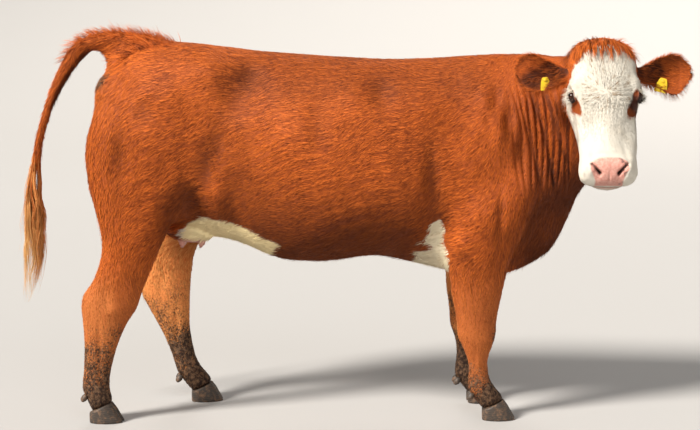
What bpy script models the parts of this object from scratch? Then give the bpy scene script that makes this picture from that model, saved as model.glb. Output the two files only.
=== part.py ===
"""A standing cow, life size: a still model with its head turned to its right.

Metres, +Z up. The cow faces +X and its right side is towards -Y. The flesh is modelled whole
as lofted forms, merged, smoothed and sculpted, then parted with thin cuts at the places where
a person names the parts of a cow. Hooves, dewclaws, eyes and ear tags are solids of their own.
"""

import math

import bmesh
import bpy
import numpy as np
from mathutils import Matrix, Vector

# ---------------------------------------------------------------- driving dimensions
GAP = 0.0003  # between neighbouring solids
BODY_GRAIN = 0.014  # voxel of the merged trunk, neck and legs
HEAD_GRAIN = 0.007  # voxel of the merged head
UDDER_GRAIN = 0.006
BODY_FILLET = 0.028  # radius that fills the creases where two forms meet
HEAD_FILLET = 0.016

# The trunk seen from the side: heights along the body, from tail to breast.
BACK_LINE = {
    "buttocks": (-0.93, 1.300),
    "tail root": (-0.83, 1.388),
    "croup": (-0.70, 1.414),
    "hips": (-0.56, 1.410),
    "loin": (-0.375, 1.388),
    "back": (0.00, 1.361),
    "hollow of the back": (0.17, 1.355),
    "withers": (0.58, 1.374),
    "crest": (0.74, 1.372),
    "breast": (0.858, 1.335),
}
BELLY_LINE = {
    "buttocks": (-0.93, 0.96),
    "crotch": (-0.76, 0.80),
    "groin": (-0.60, 0.700),
    "flank": (-0.46, 0.668),
    "navel": (-0.25, 0.590),
    "belly": (-0.12, 0.582),
    "midriff": (0.13, 0.604),
    "girth": (0.28, 0.566),
    "elbows": (0.42, 0.536),
    "breastbone": (0.58, 0.524),
    "brisket": (0.71, 0.588),
    "point of the brisket": (0.795, 0.665),
    "breast": (0.858, 0.810),
}
# Half the trunk's width, and the height at which it is widest.
HALF_WIDTH = {
    "buttocks": (-0.93, 0.145),
    "rump": (-0.80, 0.215),
    "hips": (-0.58, 0.252),
    "flank": (-0.40, 0.272),
    "belly": (-0.12, 0.312),
    "ribs": (0.12, 0.295),
    "girth": (0.36, 0.238),
    "shoulder": (0.56, 0.205),
    "breast": (0.858, 0.120),
}
WIDEST_AT = {
    "buttocks": (-0.93, 1.10),
    "hips": (-0.58, 1.14),
    "flank": (-0.40, 1.02),
    "belly": (-0.12, 0.92),
    "ribs": (0.12, 0.93),
    "girth": (0.36, 0.94),
    "breast": (0.858, 1.02),
}
# How square the section's upper and lower halves are: 2 is an ellipse, 1.6 comes to a ridge.
UPPER_SQUARE = {"rump": (-0.90, 2.1), "hips": (-0.56, 2.25), "ribs": (0.0, 1.95), "withers": (0.62, 1.62)}
LOWER_SQUARE = {"rump": (-0.90, 1.9), "flank": (-0.40, 2.1), "belly": (0.0, 2.25), "breast": (0.70, 1.75)}

# The neck bends to the right. Centre, half its height and half its width at each place.
NECK = (
    ("base", (0.56, 0.000, 0.985), 0.370, 0.185),
    ("shoulder line", (0.69, -0.020, 1.012), 0.352, 0.172),
    ("middle", (0.805, -0.095, 1.082), 0.290, 0.140),
    ("nape", (0.872, -0.215, 1.178), 0.208, 0.114),
    ("throat", (0.893, -0.320, 1.238), 0.152, 0.100),
    ("behind the jaw", (0.890, -0.400, 1.258), 0.125, 0.088),
)

# A leg from top to bottom: half its length fore and aft, and half its width. The paths below
# give the centre of each place, so that both legs of a pair share one thickness.
HIND_GIRTH = (
    ("hip", 0.190, 0.085),
    ("thigh", 0.248, 0.118),
    ("lower thigh", 0.240, 0.120),
    ("stifle", 0.166, 0.096),
    ("second thigh", 0.124, 0.076),
    ("gaskin", 0.110, 0.060),
    ("above the hock", 0.110, 0.052),
    ("hock", 0.109, 0.050),
    ("below the hock", 0.091, 0.046),
    ("upper cannon", 0.069, 0.039),
    ("cannon", 0.060, 0.035),
    ("above the fetlock", 0.058, 0.038),
    ("fetlock", 0.058, 0.045),
)
HIND_RIGHT = (
    (-0.700, -0.125, 1.240),
    (-0.725, -0.140, 1.080),
    (-0.740, -0.145, 0.920),
    (-0.784, -0.155, 0.800),
    (-0.803, -0.165, 0.690),
    (-0.822, -0.170, 0.610),
    (-0.856, -0.172, 0.530),
    (-0.891, -0.172, 0.450),
    (-0.910, -0.172, 0.380),
    (-0.928, -0.172, 0.290),
    (-0.943, -0.172, 0.205),
    (-0.950, -0.172, 0.160),
    (-0.955, -0.172, 0.120),
)
HIND_LEFT = (
    (-0.690, 0.125, 1.230),
    (-0.680, 0.140, 1.060),
    (-0.655, 0.145, 0.900),
    (-0.660, 0.150, 0.770),
    (-0.690, 0.155, 0.660),
    (-0.706, 0.157, 0.580),
    (-0.716, 0.158, 0.505),
    (-0.720, 0.158, 0.430),
    (-0.708, 0.158, 0.355),
    (-0.684, 0.157, 0.275),
    (-0.662, 0.156, 0.205),
    (-0.649, 0.155, 0.160),
    (-0.640, 0.154, 0.120),
)
LEFT_HIND_SLIMMER = 0.90  # its lower joints show less mud and hair
FORE_GIRTH = (
    ("shoulder", 0.115, 0.062),
    ("upper arm", 0.150, 0.085),
    ("elbow", 0.130, 0.080),
    ("upper forearm", 0.112, 0.070),
    ("forearm", 0.095, 0.058),
    ("above the knee", 0.082, 0.051),
    ("knee", 0.077, 0.053),
    ("below the knee", 0.054, 0.044),
    ("upper cannon", 0.043, 0.034),
    ("cannon", 0.042, 0.034),
    ("above the fetlock", 0.046, 0.038),
    ("fetlock", 0.052, 0.045),
)
FORE_RIGHT = (
    (0.580, -0.135, 0.980),
    (0.530, -0.155, 0.790),
    (0.490, -0.160, 0.650),
    (0.477, -0.155, 0.550),
    (0.472, -0.148, 0.460),
    (0.474, -0.142, 0.385),
    (0.473, -0.138, 0.325),
    (0.478, -0.136, 0.262),
    (0.479, -0.134, 0.225),
    (0.480, -0.132, 0.185),
    (0.484, -0.131, 0.150),
    (0.489, -0.130, 0.115),
)
FORE_LEFT_BACK = 0.036  # the left forefoot stands this much further back

# The foot below the fetlock.
PASTERN_SLOPES = {"fore": math.radians(54), "hind_right": math.radians(68), "hind_left": math.radians(52)}
# metres below the fetlock, half its length fore and aft, half its width
PASTERN = ((0.000, 0.050, 0.044), (0.035, 0.046, 0.044), (0.065, 0.048, 0.048), (0.105, 0.052, 0.051))
FOOT_LENGTH, FOOT_WIDTH = 0.128, 0.104
CORONET_FRONT, CORONET_HEEL = (0.028, 0.076), (-0.050, 0.040)  # ahead of the fetlock's foot, height
CLEFT = 0.006
CLAW_OUTLINE = {  # seen from above: from toe (0) to heel (1), and from the cleft (0) outwards (1)
    "toe": (0.00, 0.22),
    "outer toe": (0.08, 0.56),
    "outer wall": (0.26, 0.86),
    "widest": (0.50, 1.00),
    "outer quarter": (0.76, 0.94),
    "outer heel": (0.94, 0.72),
    "heel": (1.00, 0.40),
    "inner heel": (0.95, 0.08),
    "rear of the cleft": (0.72, 0.00),
    "cleft": (0.40, 0.02),
    "front of the cleft": (0.10, 0.02),
}
DEWCLAW = (0.015, 0.023, 0.017)  # half its thickness, length and width

# Thin plates that part the flesh: a place, and the direction square to the cut.
NECK_CUT = ((0.760, 0.000, 1.100), (0.88, -0.22, 0.42))
NAPE_CUT = ((0.880, -0.290, 1.200), (0.05, -0.95, -0.30))
DOCK_CUT = ((-0.900, 0.000, 1.385), (-0.80, 0.00, 0.60))
THIGH_CUT = ((-0.715, -0.165, 0.815), (0.301, 0.584, 0.754))  # of the right leg
ARM_CUT = ((0.490, -0.165, 0.612), (-0.150, 0.710, 0.690))
JOINT_LEVELS = {"fore": (0.395, 0.150), "hind": (0.535, 0.160)}  # above the knee or hock, and fetlock
MUZZLE_CUT = 0.405  # along the head

# The head, in its own axes: from the poll towards the nose, out of the face, and to its left.
POLL = Vector((0.880, -0.452, 1.424))
FACE_LEAN = math.radians(27)  # the nose is this far forward of plumb
FACE_TURN = math.radians(1)  # the nose points this far back from square to the body
# place: along the head, face line, throat line, half width, level of the widest part, squareness
HEAD = (
    ("crown", -0.030, -0.036, -0.140, 0.078, -0.085, 2.0),
    ("poll", 0.000, -0.006, -0.180, 0.104, -0.085, 2.2),
    ("forehead", 0.055, 0.006, -0.235, 0.121, -0.090, 2.5),
    ("brow", 0.120, 0.008, -0.262, 0.124, -0.085, 2.7),
    ("eyes", 0.185, 0.004, -0.252, 0.121, -0.090, 2.7),
    ("cheek", 0.245, -0.006, -0.226, 0.113, -0.095, 2.5),
    ("bridge", 0.310, -0.013, -0.190, 0.104, -0.090, 2.4),
    ("snout", 0.375, -0.016, -0.162, 0.097, -0.082, 2.4),
    ("behind the nostrils", 0.430, -0.014, -0.148, 0.095, -0.074, 2.5),
    ("nostrils", 0.465, -0.018, -0.142, 0.094, -0.074, 2.7),
    ("lips", 0.490, -0.032, -0.134, 0.090, -0.080, 2.7),
    ("nose", 0.507, -0.055, -0.116, 0.068, -0.084, 2.5),
)
EYE_PLACE = (0.198, -0.040, 0.1080)  # along the head, out of the face, to the side
EYE_RADIUS = 0.0205
EAR_ROOT = (0.100, -0.085, 0.090)
EAR_LENGTH = 0.230
# place along the ear, half its width, depth of its back and of its hollow (negative is full)
EAR_FORM = {
    "root": (0.00, 0.026, 0.026, -0.022),
    "stalk": (0.20, 0.030, 0.030, -0.016),
    "notch": (0.32, 0.040, 0.034, 0.012),
    "cup": (0.46, 0.055, 0.036, 0.026),
    "widest": (0.62, 0.061, 0.034, 0.026),
    "leaf": (0.78, 0.052, 0.026, 0.019),
    "narrow": (0.91, 0.033, 0.016, 0.010),
    "tip": (1.00, 0.012, 0.008, 0.003),
}
EAR_POINTS = {"right": (-0.91, 0.38, 0.05), "left": (0.99, 0.02, 0.10)}
EAR_MOUTHS = {"right": (-0.30, -0.92, -0.18), "left": (0.05, -0.96, -0.20)}
MOUTH_FRONT, MOUTH_REAR = (0.520, -0.098), (0.140, -0.190)  # along the head, out of the face

# The raised tail: centre, half its thickness in the plane of its curve, and half its width.
TAIL = (
    ("root", (-0.700, 0.000, 1.385), 0.052, 0.050),
    ("dock", (-0.800, 0.000, 1.408), 0.050, 0.046),
    ("arch", (-0.900, -0.004, 1.421), 0.043, 0.040),
    ("bend", (-0.990, -0.010, 1.400), 0.035, 0.033),
    ("fall", (-1.062, -0.018, 1.316), 0.026, 0.025),
    ("hang", (-1.128, -0.024, 1.180), 0.019, 0.019),
    ("lower", (-1.169, -0.028, 1.040), 0.016, 0.016),
    ("end", (-1.185, -0.030, 0.930), 0.021, 0.018),
    ("swell", (-1.188, -0.031, 0.835), 0.034, 0.027),
    ("full", (-1.194, -0.032, 0.720), 0.039, 0.031),
    ("thin", (-1.202, -0.033, 0.600), 0.035, 0.027),
    ("wisp", (-1.215, -0.034, 0.500), 0.026, 0.018),
    ("tip", (-1.232, -0.035, 0.420), 0.007, 0.006),
)
TAIL_NODES = {"tail_upper": (3.0, 5.0), "tail_lower": (5.0, 7.0), "tail_switch": (7.0, 12.0)}
TAIL_IN_BODY = 3.4  # the merged body takes in this many stations of the tail
UDDER = (-0.600, -0.005, 0.712)
UDDER_SIZE = (0.105, 0.085, 0.056)
TEAT_LENGTH, TEAT_RADIUS = 0.026, 0.010
TEAT_SPREAD = 0.036  # from the middle of the bag, both ways
TEAT_FORM = ((-0.6, 1.0), (0.0, 1.15), (0.5, 1.0), (0.9, 0.9), (1.0, 0.55))  # down it, thickness
TAG_SIZE, TAG_THICK = 0.053, 0.0028
TAG_HANG = 0.012  # the plate's middle is this far below its pin
TAG_PIN_RADIUS, TAG_PIN_LENGTH = 0.0026, 0.0500
TAG_BUTTON_RADIUS, TAG_BUTTON_THICK, TAG_BUTTON_DEPTH = 0.0120, 0.0026, 0.0395
# of the tag's pin: along the ear, above its axis, out of its mouth
TAG_PLACES = {"right": (0.110, -0.019, 0.008), "left": (0.116, -0.030, 0.006)}

# Triangles of each merged mesh before it is parted, and the tail's sides.
BODY_TRIANGLES, HEAD_TRIANGLES, UDDER_TRIANGLES = 3300, 1600, 420
TAIL_SIDES = 8

COLOURS = {
    "hide": ((0.36, 0.10, 0.028), 0.75),
    "face": ((0.80, 0.72, 0.60), 0.75),
    "horn": ((0.045, 0.036, 0.030), 0.45),
    "eye": ((0.015, 0.010, 0.008), 0.08),
    "tag": ((0.86, 0.62, 0.02), 0.35),
    "switch": ((0.62, 0.38, 0.15), 0.7),
    "udder": ((0.62, 0.38, 0.32), 0.6),
}


# ---------------------------------------------------------------- small tools
def clear_scene():
    for old in list(bpy.data.objects):
        bpy.data.objects.remove(old, do_unlink=True)


def material(name):
    made = bpy.data.materials.get(name)
    if made is None:
        colour, roughness = COLOURS[name]
        made = bpy.data.materials.new(name)
        made.use_nodes = True
        shader = made.node_tree.nodes["Principled BSDF"]
        shader.inputs["Base Color"].default_value = (*colour, 1.0)
        shader.inputs["Roughness"].default_value = roughness
        shader.inputs["Metallic"].default_value = 0.0
    return made


def node(name, bm, finish):
    """Makes a bmesh one named object of the model."""
    mesh = bpy.data.meshes.new(name)
    bm.to_mesh(mesh)
    bm.free()
    mesh.materials.append(material(finish))
    mesh.shade_smooth()
    mesh.set_sharp_from_angle(angle=math.radians(50))
    made = bpy.data.objects.new(name, mesh)
    bpy.context.scene.collection.objects.link(made)
    return made


def smooth_line(points, at):
    """A smooth curve through (place, value) pairs, read at the places asked for."""
    places = np.array([p[0] for p in points], float)
    values = np.array([p[1] for p in points], float)
    slopes = np.gradient(values, places, axis=0)
    at = np.clip(np.atleast_1d(np.asarray(at, float)), places[0], places[-1])
    k = np.clip(np.searchsorted(places, at, side="right") - 1, 0, len(places) - 2)
    span = places[k + 1] - places[k]
    t = (at - places[k]) / span
    if values.ndim == 2:
        t, span = t[:, None], span[:, None]
    h00, h10 = 2 * t**3 - 3 * t**2 + 1, t**3 - 2 * t**2 + t
    h01, h11 = -2 * t**3 + 3 * t**2, t**3 - t**2
    return h00 * values[k] + h10 * span * slopes[k] + h01 * values[k + 1] + h11 * span * slopes[k + 1]


def read(line, x):
    return float(smooth_line(sorted(line.values()), x)[0])


def loft(bm, rings):
    """Skins closed rings of points in order, and closes both ends."""
    loops = []
    for ring in rings:
        verts = [bm.verts.new(p) for p in ring]
        loops.append([bm.edges.new((a, b)) for a, b in zip(verts, verts[1:] + verts[:1])])
    for first, second in zip(loops, loops[1:]):
        bmesh.ops.bridge_loops(bm, edges=first + second)
    for end in (loops[0], loops[-1]):
        bmesh.ops.contextual_create(bm, geom=end)
    bmesh.ops.recalc_face_normals(bm, faces=bm.faces[:])


def oval(centre, axis_a, axis_b, half_a, half_b, sides, square=2.0):
    """A ring of points in the plane of two axes: an ellipse, or squarer."""
    ring = []
    for k in range(sides):
        t = 2 * math.pi * (k + 0.5) / sides
        c, s = math.cos(t), math.sin(t)
        a = half_a * math.copysign(abs(c) ** (2 / square), c)
        b = half_b * math.copysign(abs(s) ** (2 / square), s)
        ring.append(Vector(centre) + Vector(axis_a) * a + Vector(axis_b) * b)
    return ring


def ball(bm, centre, radii, subdivisions):
    made = bmesh.ops.create_icosphere(bm, subdivisions=subdivisions, radius=1.0)
    bmesh.ops.transform(
        bm, verts=made["verts"], matrix=Matrix.Translation(centre) @ Matrix.Diagonal((*radii, 1.0))
    )


def evaluated(bm, *modifiers):
    """The mesh after these modifiers, each given as (type, {setting: value})."""
    mesh = bpy.data.meshes.new("clay")
    bm.to_mesh(mesh)
    bm.free()
    clay = bpy.data.objects.new("clay", mesh)
    bpy.context.scene.collection.objects.link(clay)
    for kind, settings in modifiers:
        step = clay.modifiers.new(kind.lower(), kind)
        for key, value in settings.items():
            setattr(step, key, value)
    graph = bpy.context.evaluated_depsgraph_get()
    result = bmesh.new()
    result.from_mesh(clay.evaluated_get(graph).to_mesh())
    bpy.data.objects.remove(clay, do_unlink=True)
    bpy.data.meshes.remove(mesh)
    return result


def grown(distance):
    return ("DISPLACE", {"strength": distance, "mid_level": 0.0, "direction": "NORMAL"})


def merged(grain):
    return ("REMESH", {"mode": "VOXEL", "voxel_size": grain})


def eased(times):
    return ("SMOOTH", {"factor": 0.5, "iterations": times})


def filleted(bm, grain, radius, smoothing):
    """Crossing forms merged into one, with a fillet in the creases between them."""
    return evaluated(bm, merged(grain), grown(radius), merged(grain), grown(-radius), eased(smoothing))


def thinned(bm, triangles):
    bmesh.ops.triangulate(bm, faces=bm.faces[:])
    return evaluated(bm, ("DECIMATE", {"ratio": triangles / len(bm.faces), "use_collapse_triangulate": True}))


def sculpt(bm, strokes, axes=None, both_sides=True):
    """Pushes the surface along its normals under soft round brushes.

    A stroke is (place, (x, y, z), (reach x, y, z), push). Its reach is where it has faded to a
    third. With both_sides it works at y and at -y. axes turns the model's points to local ones.
    """
    bm.normal_update()
    places = np.array([v.co for v in bm.verts])
    normals = np.array([v.normal for v in bm.verts])
    local = places if axes is None else (places - np.array(axes.translation)) @ np.array(axes.to_3x3())
    moved = np.zeros(len(places))
    for _, centre, reach, push in strokes:
        sides = {1, -1} if both_sides and abs(centre[1]) > 1e-6 else {1}
        for side in sides:
            middle = np.array((centre[0], centre[1] * side, centre[2]))
            away = (((local - middle) / np.array(reach)) ** 2).sum(axis=1)
            moved += push * np.exp(-away)
    places += normals * moved[:, None]
    for vert, place in zip(bm.verts, places):
        vert.co = place


# ---------------------------------------------------------------- the flesh
def trunk_rings():
    rings = []
    for x in np.linspace(BACK_LINE["buttocks"][0], BACK_LINE["breast"][0], 38):
        top, bottom = read(BACK_LINE, x), read(BELLY_LINE, x)
        width, level = read(HALF_WIDTH, x), read(WIDEST_AT, x)
        upper, lower = read(UPPER_SQUARE, x), read(LOWER_SQUARE, x)
        ring = []
        for k in range(40):
            t = 2 * math.pi * k / 40
            c, s = math.cos(t), math.sin(t)
            square, height = (upper, top - level) if s > 0 else (lower, level - bottom)
            y = width * math.copysign(abs(c) ** (2 / square), c)
            z = level + height * math.copysign(abs(s) ** (2 / square), s)
            ring.append(Vector((x, y, z)))
        rings.append(ring)
    return rings


def upright_tube(path, girth, sides=24, steps=3):
    """Level rings down a leg, spaced evenly between its named places."""
    count = len(path)
    stations = [(i, (*path[i], girth[i][1], girth[i][2])) for i in range(count)]
    rings = []
    for row in smooth_line(stations, np.linspace(0, count - 1, (count - 1) * steps + 1)):
        rings.append(oval(row[:3], (1, 0, 0), (0, 1, 0), row[3], row[4], sides))
    return rings


def neck_rings():
    stations = [(i, (*centre, tall, wide)) for i, (_, centre, tall, wide) in enumerate(NECK)]
    rows = smooth_line(stations, np.linspace(0, len(NECK) - 1, 21))
    rings = []
    for i, row in enumerate(rows):
        ahead = Vector(rows[min(i + 1, len(rows) - 1)][:3]) - Vector(rows[max(i - 1, 0)][:3])
        ahead.z = 0.0
        across = Vector((0, 0, 1)).cross(ahead.normalized())
        rings.append(oval(row[:3], across, (0, 0, 1), row[4], row[3], 28, 1.9))
    return rings


def pastern_rings(fetlock, turn, slope):
    """From the fetlock down and forward into the hoof."""
    forward = Vector((math.cos(turn), math.sin(turn), 0))
    across = Vector((0, 0, 1)).cross(forward)
    down = forward * math.cos(slope) - Vector((0, 0, 1)) * math.sin(slope)
    front = across.cross(down)
    start = Vector(fetlock) + Vector((0, 0, 0.012))
    rings = []
    for below, long, wide in PASTERN:
        rings.append(oval(start + down * below, front, across, long, wide, 20))
    return rings


def left_hind_girth():
    """The left hind leg's thicknesses, slimmer from the hock down."""
    shares = np.clip(np.interp(range(len(HIND_GIRTH)), (3, 7), (1.0, LEFT_HIND_SLIMMER)), 0, 1)
    return [(name, long * share, wide) for (name, long, wide), share in zip(HIND_GIRTH, shares)]


def fore_left():
    """The right foreleg's mirror image, set back more and more from the elbow down."""
    shares = np.clip(np.linspace(-0.35, 1.0, len(FORE_RIGHT)), 0, 1)
    return [(x - FORE_LEFT_BACK * share, -y, z) for (x, y, z), share in zip(FORE_RIGHT, shares)]


def limbs():
    """(name, path, fetlock, turn of the toes, slope of the pastern) of the four legs."""
    fore, hind_right, hind_left = PASTERN_SLOPES.values()
    return (
        ("foreleg_right", FORE_RIGHT, FORE_RIGHT[-1], math.radians(-4), fore),
        ("foreleg_left", fore_left(), fore_left()[-1], math.radians(4), fore),
        ("hindleg_right", HIND_RIGHT, HIND_RIGHT[-1], math.radians(-5), hind_right),
        ("hindleg_left", HIND_LEFT, HIND_LEFT[-1], math.radians(5), hind_left),
    )


BODY_STROKES = (
    # bones under the skin
    ("hip bone", (-0.515, 0.235, 1.335), (0.060, 0.060, 0.055), 0.030),
    ("hip ridge", (-0.560, 0.150, 1.395), (0.070, 0.070, 0.040), 0.012),
    ("pin bone", (-0.915, 0.120, 1.270), (0.050, 0.045, 0.055), 0.022),
    ("thurl", (-0.720, 0.235, 1.200), (0.090, 0.080, 0.090), 0.014),
    ("last ribs", (-0.200, 0.300, 1.050), (0.130, 0.100, 0.170), 0.010),
    ("withers", (0.600, 0.000, 1.380), (0.120, 0.050, 0.060), 0.006),
    ("shoulder blade", (0.580, 0.190, 1.160), (0.090, 0.080, 0.170), 0.026),
    ("blade's ridge", (0.620, 0.190, 1.090), (0.035, 0.060, 0.150), 0.008),
    ("point of shoulder", (0.700, 0.200, 0.880), (0.070, 0.070, 0.080), 0.030),
    ("upper arm", (0.560, 0.230, 0.800), (0.110, 0.070, 0.100), 0.024),
    ("elbow", (0.405, 0.215, 0.680), (0.045, 0.050, 0.050), 0.018),
    ("brisket", (0.720, 0.000, 0.620), (0.100, 0.070, 0.080), 0.014),
    ("hock point, right", (-0.985, -0.172, 0.462), (0.030, 0.035, 0.032), 0.012),
    ("hock point, left", (-0.808, 0.158, 0.436), (0.030, 0.035, 0.032), 0.012),
    # flesh
    ("rump muscle", (-0.760, 0.200, 1.100), (0.120, 0.080, 0.120), 0.014),
    ("stifle", (-0.520, 0.225, 0.880), (0.080, 0.070, 0.090), 0.022),
    ("second thigh", (-0.900, 0.200, 0.860), (0.050, 0.060, 0.110), 0.010),
    # hollows
    ("hunger hollow", (-0.400, 0.250, 1.230), (0.075, 0.070, 0.070), -0.026),
    ("behind the stifle line", (-0.600, 0.270, 0.990), (0.055, 0.060, 0.090), -0.008),
    ("flank", (-0.400, 0.270, 0.860), (0.060, 0.080, 0.120), -0.018),
    ("behind the shoulder", (0.400, 0.235, 1.080), (0.055, 0.070, 0.170), -0.020),
    ("behind the elbow", (0.320, 0.215, 0.720), (0.045, 0.060, 0.070), -0.014),
    ("in front of the blade", (0.740, 0.150, 1.130), (0.045, 0.080, 0.130), -0.014),
    ("jugular groove", (0.780, 0.120, 0.940), (0.060, 0.080, 0.080), -0.010),
    ("beside the tail", (-0.860, 0.075, 1.340), (0.070, 0.030, 0.050), -0.016),
    ("between the thighs", (-0.955, 0.020, 1.030), (0.070, 0.050, 0.180), -0.018),
    ("brisket's groove", (0.640, 0.105, 0.600), (0.080, 0.030, 0.060), -0.012),
)


def body_flesh():
    clay = bmesh.new()
    loft(clay, trunk_rings())
    loft(clay, neck_rings())
    loft(clay, upright_tube(HIND_RIGHT, HIND_GIRTH))
    loft(clay, upright_tube(HIND_LEFT, left_hind_girth()))
    loft(clay, upright_tube(FORE_RIGHT, FORE_GIRTH))
    loft(clay, upright_tube(fore_left(), FORE_GIRTH))
    for _, _, fetlock, turn, slope in limbs():
        loft(clay, pastern_rings(fetlock, turn, slope))
    loft(clay, tail_rings(0.0, TAIL_IN_BODY))
    whole = filleted(clay, BODY_GRAIN, BODY_FILLET, 4)
    sculpt(whole, BODY_STROKES)
    return evaluated(whole, merged(BODY_GRAIN), eased(3))


def head_axes():
    """The head's own frame: x from the poll to the nose, y to the head's left, z out of the face."""
    lean, turn = FACE_LEAN, FACE_TURN
    along = Vector((-math.sin(turn) * math.sin(lean), -math.cos(turn) * math.sin(lean), -math.cos(lean)))
    left = Vector((math.cos(turn), -math.sin(turn), 0.0))
    out = along.cross(left)
    return Matrix.Translation(POLL) @ Matrix((along, left, out)).transposed().to_4x4()


HEAD_STROKES = (
    ("brow", (0.160, 0.106, -0.022), (0.034, 0.026, 0.028), 0.012),
    ("orbit", (0.194, 0.120, -0.046), (0.036, 0.030, 0.034), 0.012),
    ("temple", (0.110, 0.125, -0.065), (0.034, 0.030, 0.034), -0.012),
    ("cheek", (0.185, 0.105, -0.165), (0.070, 0.040, 0.060), 0.012),
    ("jaw angle", (0.165, 0.070, -0.245), (0.055, 0.040, 0.045), 0.016),
    ("behind the jaw", (0.070, 0.095, -0.215), (0.035, 0.040, 0.060), -0.012),
    ("throat", (0.080, 0.000, -0.275), (0.060, 0.045, 0.050), -0.014),
    ("under the eye", (0.262, 0.100, -0.060), (0.034, 0.030, 0.030), -0.006),
    ("beside the bridge", (0.335, 0.078, -0.036), (0.052, 0.026, 0.024), -0.011),
    ("bridge", (0.320, 0.000, -0.010), (0.110, 0.034, 0.030), 0.005),
    ("jaw's inner side", (0.300, 0.052, -0.180), (0.090, 0.030, 0.040), -0.012),
    ("between the jaws", (0.280, 0.000, -0.200), (0.110, 0.030, 0.040), -0.016),
    ("upper lip", (0.468, 0.080, -0.066), (0.034, 0.028, 0.030), 0.007),
    ("nostril wing", (0.470, 0.060, -0.030), (0.022, 0.018, 0.020), 0.007),
    ("nostril", (0.482, 0.043, -0.036), (0.013, 0.009, 0.013), -0.020),
    ("chin", (0.490, 0.000, -0.128), (0.040, 0.045, 0.020), 0.008),
    ("lip line", (0.500, 0.040, -0.103), (0.030, 0.050, 0.006), -0.010),
    ("mouth corner", (0.425, 0.090, -0.112), (0.050, 0.030, 0.007), -0.009),
    ("poll", (-0.010, 0.000, -0.020), (0.040, 0.060, 0.040), 0.008),
)


def head_flesh():
    axes = head_axes()
    clay = bmesh.new()
    stations = [(row[1], row[2:]) for row in HEAD]
    places = np.linspace(HEAD[0][1], HEAD[-1][1], 34)
    rings = []
    for h, (face, throat, wide, level, square) in zip(places, smooth_line(stations, places)):
        ring = []
        for k in range(36):
            t = 2 * math.pi * k / 36
            c, s = math.cos(t), math.sin(t)
            shape, tall = (square, face - level) if s > 0 else (1.9, level - throat)
            y = wide * math.copysign(abs(c) ** (2 / shape), c)
            z = level + tall * math.copysign(abs(s) ** (2 / shape), s)
            ring.append(axes @ Vector((h, y, z)))
        rings.append(ring)
    loft(clay, rings)
    loft(clay, neck_rings())
    whole = filleted(clay, HEAD_GRAIN, HEAD_FILLET, 5)
    sculpt(whole, HEAD_STROKES, axes)
    return evaluated(whole, merged(HEAD_GRAIN), eased(3))


def tail_place(station):
    """A place along the tail: its centre, the way it runs, and its two half thicknesses."""
    stations = [(i, (*centre, thick, wide)) for i, (_, centre, thick, wide) in enumerate(TAIL)]
    here = smooth_line(stations, station)[0]
    ends = smooth_line(stations, (max(station - 0.02, 0), min(station + 0.02, len(TAIL) - 1)))
    return Vector(here[:3]), Vector(ends[1][:3] - ends[0][:3]).normalized(), here[3], here[4]


def tail_rings(first, last, steps=3):
    rings = []
    for station in np.linspace(first, last, round((last - first) * steps) + 1):
        centre, ahead, thick, wide = tail_place(float(station))
        across = ahead.cross(Vector((0, 1, 0))).normalized()
        rings.append(oval(centre, across, ahead.cross(across), thick, wide, TAIL_SIDES))
    return rings


# ---------------------------------------------------------------- parting the flesh
def slab(bm, cut, along, half_along, half_across):
    """A thin plate to part the flesh with, its longer side the way given by along."""
    centre, normal = Vector(cut[0]), Vector(cut[1]).normalized()
    along = (Vector(along) - normal * Vector(along).dot(normal)).normalized()
    frame = Matrix((along, normal.cross(along), normal)).transposed().to_4x4()
    size = Matrix.Diagonal((2 * half_along, 2 * half_across, GAP, 1.0))
    bmesh.ops.create_cube(bm, size=1.0, matrix=Matrix.Translation(centre) @ frame @ size)


def on_side(cut, side):
    """A cut written for the right leg (side -1), or its mirror image on the left (1)."""
    (x, y, z), (nx, ny, nz) = cut
    return ((x, -y * side, z), (nx, -ny * side, nz))


def coronet(fetlock, turn, slope):
    """The slanting cut where the hair meets the horn, the way the toes point, and the heel's place."""
    forward = Vector((math.cos(turn), math.sin(turn), 0.0))
    floor = Vector((fetlock[0], fetlock[1], 0.0))
    front = CORONET_FRONT[0] + 0.085 / math.tan(slope)
    heel = CORONET_HEEL[0] + 0.080 / math.tan(slope)
    high = floor + forward * front + Vector((0, 0, CORONET_FRONT[1]))
    low = floor + forward * heel + Vector((0, 0, CORONET_HEEL[1]))
    normal = (high - low).cross(Vector((-forward.y, forward.x, 0.0)))
    return ((high + low) / 2, normal.normalized()), forward, front, heel


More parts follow.
